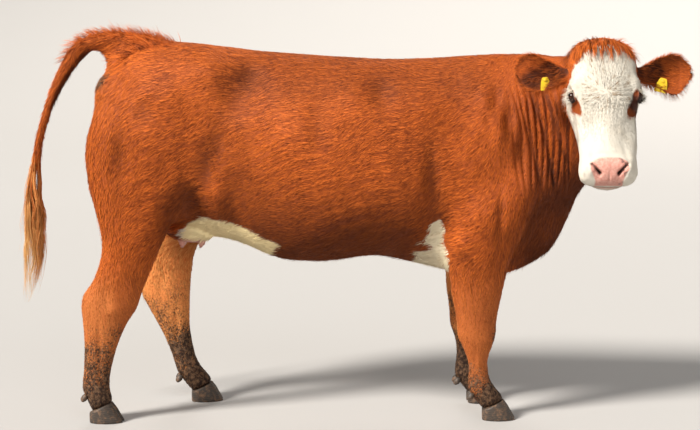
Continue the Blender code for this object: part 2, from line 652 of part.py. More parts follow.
def cutting_plates():
    """Every plate that parts the body, and where to look for each part afterwards."""
    bm = bmesh.new()
    seeds = {"trunk": (-0.05, 0.0, 1.0), "neck": (0.88, -0.25, 1.1), "tail_dock": (-0.94, 0.0, 1.40)}
    seeds["tail_inside"] = (-0.99, -0.01, 1.375)
    slab(bm, NECK_CUT, (0, 1, 0), 0.34, 0.42)
    slab(bm, DOCK_CUT, (0, 1, 0), 0.085, 0.100)
    slab(bm, tail_place(TAIL_NODES["tail_upper"][0])[:2], (0, 1, 0), 0.052, 0.046)
    for name, path, fetlock, turn, slope in limbs():
        side = 1 if name.endswith("left") else -1
        if name.startswith("hind"):
            slab(bm, on_side(THIGH_CUT, side), (1, 0, 0.1), 0.335, 0.215)
        else:
            slab(bm, on_side(ARM_CUT, side), (1, 0, 0.2), 0.170, 0.155)
        upper, lower = JOINT_LEVELS[name[:4]]
        falling = [(-p[2], p) for p in path]
        for level in (upper, lower):
            slab(bm, (smooth_line(falling, -level)[0], (0, 0, 1)), (1, 0, 0), 0.135, 0.080)
        cut, forward, _, _ = coronet(fetlock, turn, slope)
        slab(bm, cut, forward, 0.105, 0.075)
        names = ("thigh", "cannon") if name.startswith("hind") else ("forearm", "cannon")
        top = 0.74 if name.startswith("hind") else 0.56
        seeds[f"{name}_{names[0]}"] = smooth_line(falling, -top)[0]
        seeds[f"{name}_{names[1]}"] = smooth_line(falling, -(upper + lower) / 2)[0]
        seeds[f"{name}_pastern"] = Vector(cut[0]) + Vector((-0.010, 0, 0.050))
        seeds[f"{name}_inside_hoof"] = Vector(cut[0]) + Vector((0.030, 0, -0.040))
    return bm, seeds


def loose_parts(bm):
    """The separate bodies of a bmesh, each with the middle of its box."""
    seen = set()
    for first in bm.verts:
        if first in seen:
            continue
        seen.add(first)
        group, queue = [first], [first]
        while queue:
            for edge in queue.pop().link_edges:
                for other in edge.verts:
                    if other not in seen:
                        seen.add(other)
                        group.append(other)
                        queue.append(other)
        part = bmesh.new()
        copies = {v: part.verts.new(v.co) for v in group}
        for face in bm.faces:
            if face.verts[0] in copies:
                part.faces.new([copies[v] for v in face.verts])
        places = np.array([v.co for v in part.verts])
        yield Vector((places.min(axis=0) + places.max(axis=0)) / 2), part


def boolean(bm, cutter, operation="DIFFERENCE"):
    """bm cut by another bmesh, or joined with it."""
    mesh = bpy.data.meshes.new("cutter")
    cutter.to_mesh(mesh)
    cutter.free()
    tool = bpy.data.objects.new("cutter", mesh)
    bpy.context.scene.collection.objects.link(tool)
    settings = {"operation": operation, "object": tool, "solver": "EXACT"}
    result = evaluated(bm, ("BOOLEAN", settings))
    bpy.data.objects.remove(tool, do_unlink=True)
    bmesh.ops.triangulate(result, faces=result.faces[:])
    bmesh.ops.dissolve_degenerate(result, edges=result.edges[:], dist=1e-5)
    return result


def half(bm, cut, beyond):
    """The part of bm on one side of a plane, closed where cut and half a gap short of it."""
    point, normal = Vector(cut[0]), Vector(cut[1]).normalized()
    part = bm.copy()
    bmesh.ops.bisect_plane(
        part,
        geom=part.verts[:] + part.edges[:] + part.faces[:],
        plane_co=point + normal * (GAP / 2 if beyond else -GAP / 2),
        plane_no=normal,
        clear_inner=beyond,
        clear_outer=not beyond,
    )
    rim = [e for e in part.edges if e.is_boundary]
    filled = bmesh.ops.holes_fill(part, edges=rim, sides=0)
    bmesh.ops.triangulate(part, faces=filled["faces"])
    bmesh.ops.recalc_face_normals(part, faces=part.faces[:])
    return part


def inflated(bm, distance=GAP):
    """A copy a hair larger, to cut a neighbour clear of bm."""
    copy = bm.copy()
    copy.normal_update()
    for vert in copy.verts:
        vert.co += vert.normal * distance
    return copy


# ---------------------------------------------------------------- horn, udder, ears, tags
def claw(fetlock, turn, slope, side):
    """One of a foot's two claws, side 1 to the foot's left, its sole flat on the floor."""
    (middle, normal), forward, front, heel = coronet(fetlock, turn, slope)
    left = Vector((-forward.y, forward.x, 0.0))
    toe = heel + FOOT_LENGTH
    half_wide = FOOT_WIDTH / 2 - CLEFT / 2
    bm = bmesh.new()
    rings = []
    for level, swell in ((0.0, 0.95), (0.10, 1.0), (0.60, 1.0), (1.0, 0.97)):
        ring = []
        for back, out in CLAW_OUTLINE.values():
            lean = (toe - front) * (1 - back) * level
            x = toe + (heel - toe) * back - lean
            y = CLEFT / 2 + half_wide * (out * swell)
            place = Vector((fetlock[0], fetlock[1], 0.0)) + forward * x + left * (side * y)
            top = middle.z - (place - middle).xy.dot(normal.xy) / normal.z - GAP
            ring.append(Vector((place.x, place.y, top * level)))
        rings.append(ring)
    loft(bm, rings)
    bmesh.ops.triangulate(bm, faces=bm.faces[:])
    return bm


def dewclaw(fetlock, turn, side, flesh):
    """A small blunt horn behind the fetlock, cut clear of the leg it sits on."""
    forward = Vector((math.cos(turn), math.sin(turn), 0.0))
    left = Vector((-forward.y, forward.x, 0.0))
    place = Vector((fetlock[0], fetlock[1], fetlock[2] - 0.026)) - forward * 0.034 + left * (side * 0.023)
    thick, long, wide = DEWCLAW
    down = (Vector((0, 0, -1)) - forward * 0.75).normalized()
    frame = Matrix((left.cross(down), down, left)).transposed().to_4x4()
    bm = bmesh.new()
    bmesh.ops.create_icosphere(bm, subdivisions=1, radius=1.0)
    shape = Matrix.Translation(place) @ frame @ Matrix.Diagonal((thick, long, wide, 1.0))
    bmesh.ops.transform(bm, verts=bm.verts[:], matrix=shape)
    return largest(boolean(bm, inflated(flesh)))


def udder(around):
    """The heifer's small bag with four teats, cut clear of the belly and thighs."""
    bm = bmesh.new()
    ball(bm, UDDER, UDDER_SIZE, 3)
    for ahead in (-TEAT_SPREAD, TEAT_SPREAD):
        for side in (-TEAT_SPREAD, TEAT_SPREAD):
            foot = Vector(UDDER) + Vector((ahead, side, -UDDER_SIZE[2] + 0.004))
            rings = []
            for share, size in TEAT_FORM:
                down = foot - Vector((0, 0, TEAT_LENGTH * share))
                rings.append(oval(down, (1, 0, 0), (0, 1, 0), TEAT_RADIUS * size, TEAT_RADIUS * size, 10))
            loft(bm, rings)
    bag = evaluated(bm, merged(UDDER_GRAIN), eased(2))
    return largest(boolean(thinned(bag, UDDER_TRIANGLES), around))


def ear_axes(name):
    """The ear's frame: x from root to tip, y upwards across it, z out of its mouth."""
    side = 1 if name == "left" else -1
    root = head_axes() @ Vector((EAR_ROOT[0], EAR_ROOT[2] * side, EAR_ROOT[1]))
    along = Vector(EAR_POINTS[name]).normalized()
    mouth = Vector(EAR_MOUTHS[name])
    mouth = (mouth - along * mouth.dot(along)).normalized()
    up = mouth.cross(along) * side
    return Matrix.Translation(root) @ Matrix((along, up, mouth)).transposed().to_4x4()


def ear(name, flesh, pin):
    """A cupped leaf on a short stalk, cut clear of the head, with a hole for its tag's pin."""
    bm = bmesh.new()
    rings = []
    for share, wide, back, hollow in EAR_FORM.values():
        ring = []
        for k in range(9):
            t = math.pi * k / 8
            ring.append(Vector((share * EAR_LENGTH, math.cos(t) * wide, -math.sin(t) * back)))
        for k in range(1, 8):
            t = math.pi * (1 - k / 8)
            ring.append(Vector((share * EAR_LENGTH, math.cos(t) * (wide - 0.005), -math.sin(t) * hollow)))
        rings.append(ring)
    loft(bm, rings)
    bmesh.ops.transform(bm, verts=bm.verts[:], matrix=ear_axes(name))
    bmesh.ops.recalc_face_normals(bm, faces=bm.faces[:])
    bmesh.ops.triangulate(bm, faces=bm.faces[:])
    return largest(boolean(boolean(bm, inflated(flesh)), pin))


def disc(bm, axes, centre, radius, thick, sides, square=2.0):
    """A flat round or squarish plate, or a pin, square to the z of its axes."""
    x, y, _ = axes.to_3x3().col
    rings = []
    for level in (-0.5, 0.5):
        middle = axes @ (Vector(centre) + Vector((0, 0, thick * level)))
        rings.append(oval(middle, x, y, radius, radius, sides, square))
    loft(bm, rings)


def ear_tag(name):
    """A blank plastic plate hung in the ear by a pin with a button behind it. Also the bare pin."""
    axes = ear_axes(name)
    x, y, z = TAG_PLACES[name]
    plate, pin, button, hole = (bmesh.new() for _ in range(4))
    halfway = z + 0.0005 - TAG_PIN_LENGTH / 2
    disc(plate, axes, (x, y - TAG_HANG, z), TAG_SIZE / 2, TAG_THICK, 20, square=5.0)
    disc(pin, axes, (x, y, halfway), TAG_PIN_RADIUS, TAG_PIN_LENGTH, 8)
    disc(button, axes, (x, y, -TAG_BUTTON_DEPTH), TAG_BUTTON_RADIUS, TAG_BUTTON_THICK, 12)
    disc(hole, axes, (x, y, halfway), TAG_PIN_RADIUS + GAP, TAG_PIN_LENGTH + 2 * GAP, 8)
    return boolean(boolean(plate, pin, "UNION"), button, "UNION"), hole


def eyeball(side):
    bm = bmesh.new()
    centre = head_axes() @ Vector((EYE_PLACE[0], EYE_PLACE[2] * side, EYE_PLACE[1]))
    ball(bm, centre, (EYE_RADIUS,) * 3, 2)
    return bm


def largest(bm):
    return max(loose_parts(bm), key=lambda found: len(found[1].verts))[1]


def tail_length(first, last):
    """The tail between two of its stations, half a gap short at each end."""
    bm = bmesh.new()
    loft(bm, tail_rings(first + 0.0015, last - 0.0015, 2))
    bmesh.ops.triangulate(bm, faces=bm.faces[:])
    return bm


# ---------------------------------------------------------------- the cow
clear_scene()
flesh = {}

whole = thinned(body_flesh(), BODY_TRIANGLES)
around_udder = inflated(whole)
plates, seeds = cutting_plates()
for middle, part in loose_parts(boolean(whole, plates)):
    name = min(seeds, key=lambda seed: (Vector(seeds[seed]) - middle).length)
    flesh[name] = part

flesh["neck"] = half(flesh["neck"], NAPE_CUT, beyond=False)
axes = head_axes()
skull = half(thinned(head_flesh(), HEAD_TRIANGLES), NAPE_CUT, beyond=True)
across = axes.to_3x3() @ Vector((0, 1, 0))
lips = axes @ Vector((MOUTH_FRONT[0], 0, MOUTH_FRONT[1]))
jaw_hinge = axes @ Vector((MOUTH_REAR[0], 0, MOUTH_REAR[1]))
mouth_cut = (lips, (lips - jaw_hinge).cross(across))
flesh["lower_jaw"] = half(skull, mouth_cut, beyond=False)
upper = half(skull, mouth_cut, beyond=True)
muzzle_cut = (axes @ Vector((MUZZLE_CUT, 0, 0)), axes.to_3x3() @ Vector((1, 0, 0)))
flesh["muzzle"] = half(upper, muzzle_cut, beyond=True)
flesh["head"] = half(upper, muzzle_cut, beyond=False)

for name, (first, last) in TAIL_NODES.items():
    flesh[name] = tail_length(first, last)
flesh["udder"] = udder(around_udder)

FINISH = {"tail_switch": "switch", "udder": "udder", "muzzle": "face", "head": "face", "lower_jaw": "face"}
for side, which in ((-1, "right"), (1, "left")):
    flesh["head"] = boolean(flesh["head"], inflated(eyeball(side)))
for side, which in ((-1, "right"), (1, "left")):
    tag, hole = ear_tag(which)
    node(f"ear_tag_{which}", tag, "tag")
    node(f"eye_{which}", eyeball(side), "eye")
    flesh[f"ear_{which}"] = ear(which, flesh["head"], hole)

for name, part in list(flesh.items()):
    if "inside" in name:
        flesh.pop(name).free()

for leg, _, fetlock, turn, slope in limbs():
    for side in (-1, 1):
        which = "outer" if (side == 1) == leg.endswith("left") else "inner"
        node(f"{leg}_claw_{which}", claw(fetlock, turn, slope, side), "horn")
        horn = dewclaw(fetlock, turn, side, flesh[f"{leg}_pastern"])
        node(f"{leg}_dewclaw_{which}", horn, "horn")
for name, part in flesh.items():
    node(name, part, FINISH.get(name, "hide"))

# The middle of the model's footprint goes to the origin, with the soles on the floor.
corners = np.array([vert.co for made in bpy.data.objects for vert in made.data.vertices])
middle = (corners.min(axis=0) + corners.max(axis=0)) / 2
shift = Matrix.Translation((-middle[0], -middle[1], -corners[:, 2].min()))
for made in bpy.data.objects:
    made.data.transform(shift)
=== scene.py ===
"""A life-size model of a standing cow with its head turned to look out at its right side.

Metres, +Z up. The cow faces +X and its right side is towards -Y. One skin is made from the
frame's solids of flesh, and joined meshes of many small tufts and locks make its coat.
"""

import math

import bmesh
import bpy
import numpy as np
from mathutils import Matrix, Vector


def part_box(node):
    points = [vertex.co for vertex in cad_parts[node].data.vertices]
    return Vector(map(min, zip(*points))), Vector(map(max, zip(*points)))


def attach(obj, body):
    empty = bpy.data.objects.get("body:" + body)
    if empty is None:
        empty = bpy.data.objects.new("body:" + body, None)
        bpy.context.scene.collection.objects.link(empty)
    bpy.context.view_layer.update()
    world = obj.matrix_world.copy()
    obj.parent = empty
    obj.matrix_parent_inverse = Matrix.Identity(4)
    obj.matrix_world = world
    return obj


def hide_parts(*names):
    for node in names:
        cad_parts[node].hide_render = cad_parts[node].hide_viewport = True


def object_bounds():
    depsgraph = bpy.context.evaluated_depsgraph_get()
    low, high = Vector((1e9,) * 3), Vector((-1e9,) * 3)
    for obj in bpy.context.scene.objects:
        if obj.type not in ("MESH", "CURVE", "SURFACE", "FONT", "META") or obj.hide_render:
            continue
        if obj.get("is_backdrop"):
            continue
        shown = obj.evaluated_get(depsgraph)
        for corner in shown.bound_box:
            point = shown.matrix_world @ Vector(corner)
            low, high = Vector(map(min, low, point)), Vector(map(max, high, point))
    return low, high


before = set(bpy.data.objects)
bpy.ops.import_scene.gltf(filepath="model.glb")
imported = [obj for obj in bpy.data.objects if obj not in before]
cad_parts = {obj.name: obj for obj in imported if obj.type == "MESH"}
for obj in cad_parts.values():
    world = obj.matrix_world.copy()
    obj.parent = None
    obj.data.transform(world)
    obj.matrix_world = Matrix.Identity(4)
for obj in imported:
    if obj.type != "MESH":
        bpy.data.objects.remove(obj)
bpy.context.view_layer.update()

# ------------------------------------------------------------------------------- landmarks
# The body's places are written from the point on the floor under the middle of the back, and
# the head's from its poll: down the face towards the nose, to the head's left, out of the face.
trunk_low, trunk_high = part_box("trunk")
TAIL_HEAD_TO_BACK = 0.981
under_back = np.array((trunk_low.x + TAIL_HEAD_TO_BACK, (trunk_low.y + trunk_high.y) / 2, 0.0))

FACE_LEAN, FACE_TURN = math.radians(27), math.radians(1)
down_face = Vector((
    -math.sin(FACE_TURN) * math.sin(FACE_LEAN),
    -math.cos(FACE_TURN) * math.sin(FACE_LEAN),
    -math.cos(FACE_LEAN),
))
head_left = Vector((math.cos(FACE_TURN), -math.sin(FACE_TURN), 0.0))
out_of_face = down_face.cross(head_left)
HEAD_AXES = np.array((down_face, head_left, out_of_face))
EYE = (0.198, 0.108, -0.040)
EYES = np.array((EYE, (EYE[0], -EYE[1], EYE[2])))  # the middles of the left and right eyeballs
EYE_RADIUS = 0.0205
HEAD_MIDDLE = -0.10  # the line down the middle of the head lies this far behind the face
EAR_ROOT = 0.118  # the ears start this far out from the middle of the head
eye_corners = [corner for side in ("left", "right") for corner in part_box(f"eye_{side}")]
between_eyes = np.array(sum(eye_corners, Vector()) / len(eye_corners))
poll = between_eyes - EYE[0] * HEAD_AXES[0] - EYE[2] * HEAD_AXES[2]


def on_body(points):
    return points - under_back


def on_head(points):
    return (points - poll) @ HEAD_AXES.T


def from_head(places):
    return poll + np.asarray(places, float) @ HEAD_AXES


def from_middle(head):
    """How far each point is from the line down the middle of the head."""
    return np.hypot(head[:, 1], head[:, 2] - HEAD_MIDDLE)


# ------------------------------------------------------------------------------- the skin
# The hide, one sheet from nose to tail over all the flesh, as deep inside the solids as the
# coat is thick. The solids are merged, eased and sculpted, then thinned where they are plain.
HEAD_NODES = ("head", "muzzle", "lower_jaw")
EAR_NODES = ("ear_left", "ear_right")
LEG_PARTS = ("thigh", "forearm", "cannon", "pastern")
leg_nodes = [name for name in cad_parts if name.endswith(LEG_PARTS)]
BODY_NODES = ("trunk", "neck", *HEAD_NODES, "tail_dock", *sorted(leg_nodes))
SMALL_NODES = ("udder", "tail_dock", "tail_upper", "tail_lower")


def joined_copies(names, grow):
    """The solids of these nodes in one bmesh, each grown a little so that they overlap."""
    bm = bmesh.new()
    for name in names:
        part = bmesh.new()
        part.from_mesh(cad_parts[name].data)
        bmesh.ops.remove_doubles(part, verts=part.verts[:], dist=1e-5)
        part.normal_update()
        for vert in part.verts:
            vert.co += vert.normal * grow
        mesh = bpy.data.meshes.new(name)
        part.to_mesh(mesh)
        part.free()
        bm.from_mesh(mesh)
        bpy.data.meshes.remove(mesh)
    return bm


def new_piece(name, bm):
    mesh = bpy.data.meshes.new(name)
    bm.to_mesh(mesh)
    bm.free()
    piece = bpy.data.objects.new(name, mesh)
    bpy.context.scene.collection.objects.link(piece)
    return piece


def kept_modifiers(piece):
    """Bakes the piece's modifiers into its mesh."""
    graph = bpy.context.evaluated_depsgraph_get()
    shaped = bpy.data.meshes.new_from_object(piece.evaluated_get(graph))
    piece.modifiers.clear()
    old, piece.data = piece.data, shaped
    bpy.data.meshes.remove(old)


def merged(piece, grain, easing):
    """Joins overlapping solids into one skin of this grain, and eases it."""
    remesh = piece.modifiers.new("merge", "REMESH")
    remesh.mode, remesh.voxel_size = "VOXEL", grain
    smooth = piece.modifiers.new("ease", "SMOOTH")
    smooth.factor, smooth.iterations = 0.5, easing
    kept_modifiers(piece)


def read(items, key, columns, kind=np.float32):
    """One value of many mesh items, as an array with this many columns."""
    values = np.empty(len(items) * columns, kind)
    items.foreach_get(key, values)
    return values.reshape(-1, columns)


def vertex_places(mesh):
    return read(mesh.vertices, "co", 3, float)


def vertex_normals(mesh):
    return read(mesh.vertex_normals, "vector", 3).astype(float)


def move_vertices(mesh, places):
    mesh.vertices.foreach_set("co", places.ravel())
    mesh.update()


LID_THICK, LID_TUCK = 0.0040, 0.0035
EAR_GROWTH = 0.0020
# nodes, how much they grow, grain of the merging, passes of easing
GROUPS = (
    (BODY_NODES, 0.0020, 0.009, 22),
    (SMALL_NODES, 0.0015, 0.004, 8),
    (HEAD_NODES, 0.0015, 0.004, 5),
    (EAR_NODES, EAR_GROWTH, 0.0025, 3),
)
whole = bmesh.new()
for names, grow, grain, easing in GROUPS:
    flesh = joined_copies(names, grow)
    if names is HEAD_NODES:  # the sockets are filled, for the lids to be drawn over
        for eye in EYES:
            place = Matrix.Translation(from_head(eye))
            bmesh.ops.create_icosphere(flesh, subdivisions=3, radius=EYE_RADIUS + LID_THICK, matrix=place)
    form = new_piece("form", flesh)
    merged(form, grain, easing)
    whole.from_mesh(form.data)
    bpy.data.objects.remove(form)
skin = new_piece("skin", whole)
SKIN_GRAIN = 0.004
merged(skin, SKIN_GRAIN, 3)

# place, reach fore and aft / across / up, push outwards; on both sides unless it is on the middle
BODY_FORMS = (
    ("hip bone", (-0.470, 0.235, 1.315), (0.050, 0.060, 0.055), 0.011),
    ("edge of the loin", (-0.300, 0.200, 1.345), (0.130, 0.060, 0.022), 0.004),
    ("hunger hollow", (-0.352, 0.250, 1.310), (0.048, 0.120, 0.060), -0.024),
    ("lower hunger hollow", (-0.405, 0.260, 1.200), (0.050, 0.100, 0.080), -0.010),
    ("upper flank hollow", (-0.468, 0.270, 1.064), (0.038, 0.100, 0.075), -0.015),
    ("flank hollow", (-0.520, 0.270, 0.946), (0.040, 0.100, 0.080), -0.024),
    ("lower flank hollow", (-0.590, 0.260, 0.820), (0.034, 0.090, 0.075), -0.018),
    ("front of the thigh", (-0.625, 0.260, 0.980), (0.045, 0.100, 0.120), 0.011),
    ("thigh groove", (-0.830, 0.240, 1.020), (0.028, 0.100, 0.120), -0.012),
    ("thigh muscle", (-0.715, 0.250, 1.000), (0.055, 0.100, 0.120), 0.007),
    ("thurl hollow", (-0.735, 0.230, 1.171), (0.040, 0.080, 0.045), -0.014),
    ("thurl", (-0.640, 0.230, 1.220), (0.050, 0.080, 0.050), 0.007),
    ("stifle fold", (-0.480, 0.230, 0.800), (0.030, 0.070, 0.080), 0.012),
    ("paunch", (-0.240, 0.300, 1.080), (0.080, 0.120, 0.120), 0.008),
    ("behind the paunch", (-0.345, 0.300, 1.080), (0.030, 0.120, 0.100), -0.006),
    ("before the paunch", (-0.110, 0.300, 1.120), (0.040, 0.120, 0.110), -0.008),
    ("top of the ribs", (0.125, 0.240, 1.250), (0.045, 0.100, 0.060), -0.019),
    ("back ribs", (0.020, 0.240, 1.220), (0.045, 0.100, 0.080), 0.006),
    ("fore ribs", (0.270, 0.240, 1.200), (0.060, 0.100, 0.060), 0.008),
    ("behind the shoulder", (0.310, 0.250, 0.920), (0.030, 0.100, 0.150), -0.017),
    ("shoulder blade", (0.430, 0.250, 1.080), (0.060, 0.100, 0.140), 0.008),
    ("shoulder ridge top", (0.452, 0.180, 1.290), (0.026, 0.080, 0.050), 0.008),
    ("shoulder ridge", (0.498, 0.190, 1.200), (0.026, 0.080, 0.060), 0.010),
    ("shoulder ridge foot", (0.548, 0.190, 1.090), (0.026, 0.080, 0.070), 0.011),
    ("before the ridge top", (0.540, 0.190, 1.220), (0.022, 0.100, 0.050), -0.010),
    ("before the ridge", (0.580, 0.190, 1.140), (0.022, 0.100, 0.060), -0.015),
    ("before the ridge's foot", (0.625, 0.190, 1.020), (0.022, 0.100, 0.070), -0.013),
    ("below the pin bone", (-0.945, 0.110, 1.190), (0.050, 0.090, 0.080), 0.016),
    ("point of the shoulder", (0.640, 0.190, 0.880), (0.045, 0.070, 0.055), 0.009),
    ("arm muscle", (0.450, 0.220, 0.790), (0.055, 0.080, 0.080), 0.010),
    ("before the arm", (0.550, 0.210, 0.780), (0.016, 0.090, 0.090), -0.015),
    ("elbow hollow", (0.345, 0.220, 0.720), (0.030, 0.060, 0.070), -0.008),
    ("elbow", (0.415, 0.210, 0.660), (0.028, 0.050, 0.035), 0.008),
    ("chest groove", (0.700, 0.000, 0.700), (0.100, 0.012, 0.130), -0.008),
    ("milk vein", (-0.150, 0.120, 0.590), (0.220, 0.018, 0.040), 0.005),
)
HIND_LEG_FORMS = (
    ("right hock's hollow", (-0.900, -0.225, 0.480), (0.018, 0.030, 0.060), -0.006),
    ("right hock's joint", (-0.880, -0.225, 0.425), (0.028, 0.030, 0.025), 0.004),
    ("right string", (-0.985, -0.172, 0.560), (0.016, 0.030, 0.070), 0.007),
    ("right cannon's groove", (-0.930, -0.212, 0.290), (0.010, 0.025, 0.100), -0.005),
    ("left hock's hollow", (-0.735, 0.105, 0.480), (0.018, 0.030, 0.060), -0.006),
    ("left cannon's groove", (-0.680, 0.115, 0.280), (0.010, 0.025, 0.100), -0.005),
)
FORELEG_FORMS = (
    ("knee", (0.520, 0.136, 0.315), (0.030, 0.040, 0.035), 0.005),
    ("above the knee", (0.520, 0.136, 0.372), (0.030, 0.040, 0.018), -0.003),
    ("back of the knee", (0.425, 0.140, 0.335), (0.016, 0.030, 0.025), 0.005),
    ("forearm muscle", (0.520, 0.150, 0.500), (0.040, 0.060, 0.060), 0.007),
    ("fore cannon's groove", (0.468, 0.180, 0.220), (0.007, 0.022, 0.060), -0.004),
)
RIB_SPACING, RIB_SLANT, RIB_HEIGHT = 0.072, 0.28, 0.0011


def fade(value, start, end):
    """0 before start and 1 after end, or the other way round, with soft ends."""
    t = np.clip((value - start) / (end - start), 0.0, 1.0)
    return t * t * (3.0 - 2.0 * t)


def stroke(local, middle, reach):
    """A soft round stroke: 1 at its middle, and 0 well past its reach each way."""
    return np.exp(-(((local - np.array(middle)) / reach) ** 2).sum(axis=1))


def ripple(points, size, seed):
    """A smooth wandering value, about -1 to 1, whose bumps are roughly size across."""
    draw = np.random.default_rng(seed)
    total = np.zeros(len(points))
    for _ in range(7):
        way = draw.normal(size=3)
        way *= 2 * math.pi / (size * draw.uniform(1.3, 2.6) * np.linalg.norm(way))
        total += np.sin(points @ way + draw.uniform(0, 2 * math.pi))
    return total / 3.5


def pushed(local, forms, both_sides):
    """How far each point is pushed out by soft round strokes."""
    total = np.zeros(len(local))
    for _, centre, reach, push in forms:
        sides = (1, -1) if both_sides and centre[1] != 0 else (1,)
        for side in sides:
            total += push * stroke(local, (centre[0], centre[1] * side, centre[2]), reach)
    return total


# Each pleat's line: its place along the body at the height of the jaw, and its depth.
NECK_PLEATS = (
    (0.598, 0.005), (0.625, 0.008), (0.648, 0.010), (0.665, 0.012), (0.681, 0.014), (0.695, 0.012),
    (0.708, 0.014), (0.722, 0.016), (0.736, 0.014), (0.750, 0.014), (0.766, 0.012), (0.786, 0.012),
)
PLEAT_LEVEL, PLEAT_SHARE = 1.11, 0.85  # the height of the jaw, and the share of each depth that is used


def neck_folds(local, head, normals):
    """Loose skin in upright pleats on the side that the neck bends to."""
    level = local[:, 2] - PLEAT_LEVEL
    push = np.full(len(local), 0.0015)
    for k, (start, depth) in enumerate(NECK_PLEATS):
        line = start - 0.15 * level + 0.005 * np.sin(level * 17 + k * 1.7) - 0.25 * level**2
        away = np.abs(local[:, 0] - line)
        narrow, wide = np.exp(-((away / 0.0048) ** 2)), np.exp(-((away / 0.010) ** 2))
        push -= depth * (0.80 * narrow + 0.20 * wide)
    reach = fade(level, -0.30, -0.14) * fade(level, 0.20, 0.06) * fade(-normals[:, 1], 0.05, 0.55)
    on_neck = fade(head[:, 2], -0.16, -0.22) + fade(np.abs(head[:, 1]), 0.14, 0.17)
    return PLEAT_SHARE * push * reach * fade(local[:, 1], 0.08, 0.0) * np.clip(on_neck, 0, 1)


COAT_DEPTH, TAIL_COAT_DEPTH = 0.0070, 0.0035


def coat_depth(points):
    """How far the skin lies inside the solids: less on the legs, the face and the tail."""
    body, head = on_body(points), on_head(points)
    depth = np.full(len(points), COAT_DEPTH)
    depth -= 0.0050 * fade(body[:, 2], 0.62, 0.42)
    depth -= 0.0020 * fade(body[:, 2], 0.16, 0.09)
    tail = fade(body[:, 0], -0.93, -1.0) * fade(body[:, 2], 0.85, 0.95)
    depth = depth * (1 - tail) + TAIL_COAT_DEPTH * tail
    out = head[:, 1] ** 2 + (head[:, 2] - HEAD_MIDDLE) ** 2
    on_face = fade(out, 0.045, 0.030) * fade(head[:, 0], -0.10, -0.02)
    crown = 0.0030 + 0.005 * fade(head[:, 0], 0.035, -0.010) * fade(head[:, 2], -0.12, -0.04)
    depth = depth * (1 - on_face) + crown * on_face
    depth *= 1 - 0.8 * fade(head[:, 0], 0.400, 0.440) * on_face
    udder = stroke(body, (-0.600, 0.0, 0.680), (0.11, 0.10, 0.07))
    return depth * (1 - np.clip(udder * 1.6, 0, 1))


places, normals = vertex_places(skin.data), vertex_normals(skin.data)
body = on_body(places)
push = pushed(body, BODY_FORMS, True) + pushed(body, HIND_LEG_FORMS, False)
push += pushed(body, FORELEG_FORMS, True)
ribs = np.sin((body[:, 0] + RIB_SLANT * (body[:, 2] - 1.0)) * 2 * math.pi / RIB_SPACING)
barrel = fade(body[:, 0], -0.34, -0.15) * fade(body[:, 0], 0.36, 0.20)
barrel *= fade(body[:, 2], 0.72, 0.85) * fade(body[:, 2], 1.24, 1.08)
push += RIB_HEIGHT * ribs * barrel
push += 0.0014 * ripple(places, 0.10, 3) * fade(body[:, 2], 0.35, 0.60)
push += neck_folds(body, on_head(places), normals)

# The ears keep their full thickness. The way into the left and right hollow, and to each tip:
EAR_HOLLOWS = ((0.05, -0.96, -0.20), (-0.30, -0.92, -0.18))
EAR_TIPS = ((0.99, 0.02, 0.10), (-0.91, 0.38, 0.05))
ears = np.zeros(len(places), bool)
for name in EAR_NODES:
    ear_low, ear_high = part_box(name)
    inside = ((places > np.array(ear_low) - 0.004) & (places < np.array(ear_high) + 0.004)).all(axis=1)
    ears |= inside & (np.abs(on_head(places)[:, 1]) > EAR_ROOT)
push[ears] = 0.0
depth = np.where(ears, EAR_GROWTH + 0.0004, coat_depth(places))
places = places + normals * (push - depth)[:, None]
# the outer third of each ear is broad and round, from the line along its middle
EAR_MIDDLES, EAR_TIP, TIP_SHARES = (0.056, 0.070), 0.27, (0.85, 0.65)
head = on_head(places[ears])
far = np.abs(head[:, 1])
right_ear = (head[:, 1] < 0).astype(int)
middle = np.array(EAR_MIDDLES)[right_ear]
head[:, 0] = middle + (head[:, 0] - middle) * (1 + 0.50 * fade(far, 0.19, EAR_TIP))
drawn_in = EAR_TIP + (far - EAR_TIP) * np.array(TIP_SHARES)[right_ear]
head[:, 1] = np.sign(head[:, 1]) * np.where(far > EAR_TIP, drawn_in, far)
places[ears] = from_head(head)
move_vertices(skin.data, places)

# The markings, in named outlines seen from the side (fore and aft, height) or round the head.
BELLY_WHITE = (
    (-0.610, 0.735), (-0.584, 0.747), (-0.529, 0.766), (-0.474, 0.762), (-0.402, 0.744),
    (-0.336, 0.711), (-0.300, 0.688), (-0.262, 0.676), (-0.254, 0.660), (-0.275, 0.620),
    (-0.300, 0.600), (-0.530, 0.600), (-0.560, 0.660), (-0.640, 0.690),
)
ELBOW_WHITE = (
    (0.334, 0.776), (0.349, 0.730), (0.349, 0.680), (0.362, 0.646), (0.366, 0.600), (0.350, 0.500),
    (0.270, 0.500), (0.246, 0.634), (0.258, 0.682), (0.280, 0.694), (0.299, 0.725), (0.302, 0.748),
)
ELBOW_SPOT = ((0.270, 0.657), (0.030, 0.017))
# down the face: how far round the head the white goes, in degrees, on its right and left
WHITE_FACE = {
    0.020: (0, 0), 0.034: (16, 18), 0.052: (34, 38), 0.075: (48, 56), 0.10: (62, 72), 0.14: (88, 98),
    0.17: (100, 110), 0.22: (104, 112), 0.32: (112, 118), 0.40: (140, 140), 0.45: (190, 190),
}
# middle and half size of the coloured patches below the eyes, down the face and across, and their slant
EYE_PATCHES = (
    ("right", (0.238, -0.099), (0.029, 0.013), 0.40),
    ("left", (0.241, 0.091), (0.038, 0.020), -0.40),
    ("left", (0.205, 0.101), (0.030, 0.014), -0.20),
)


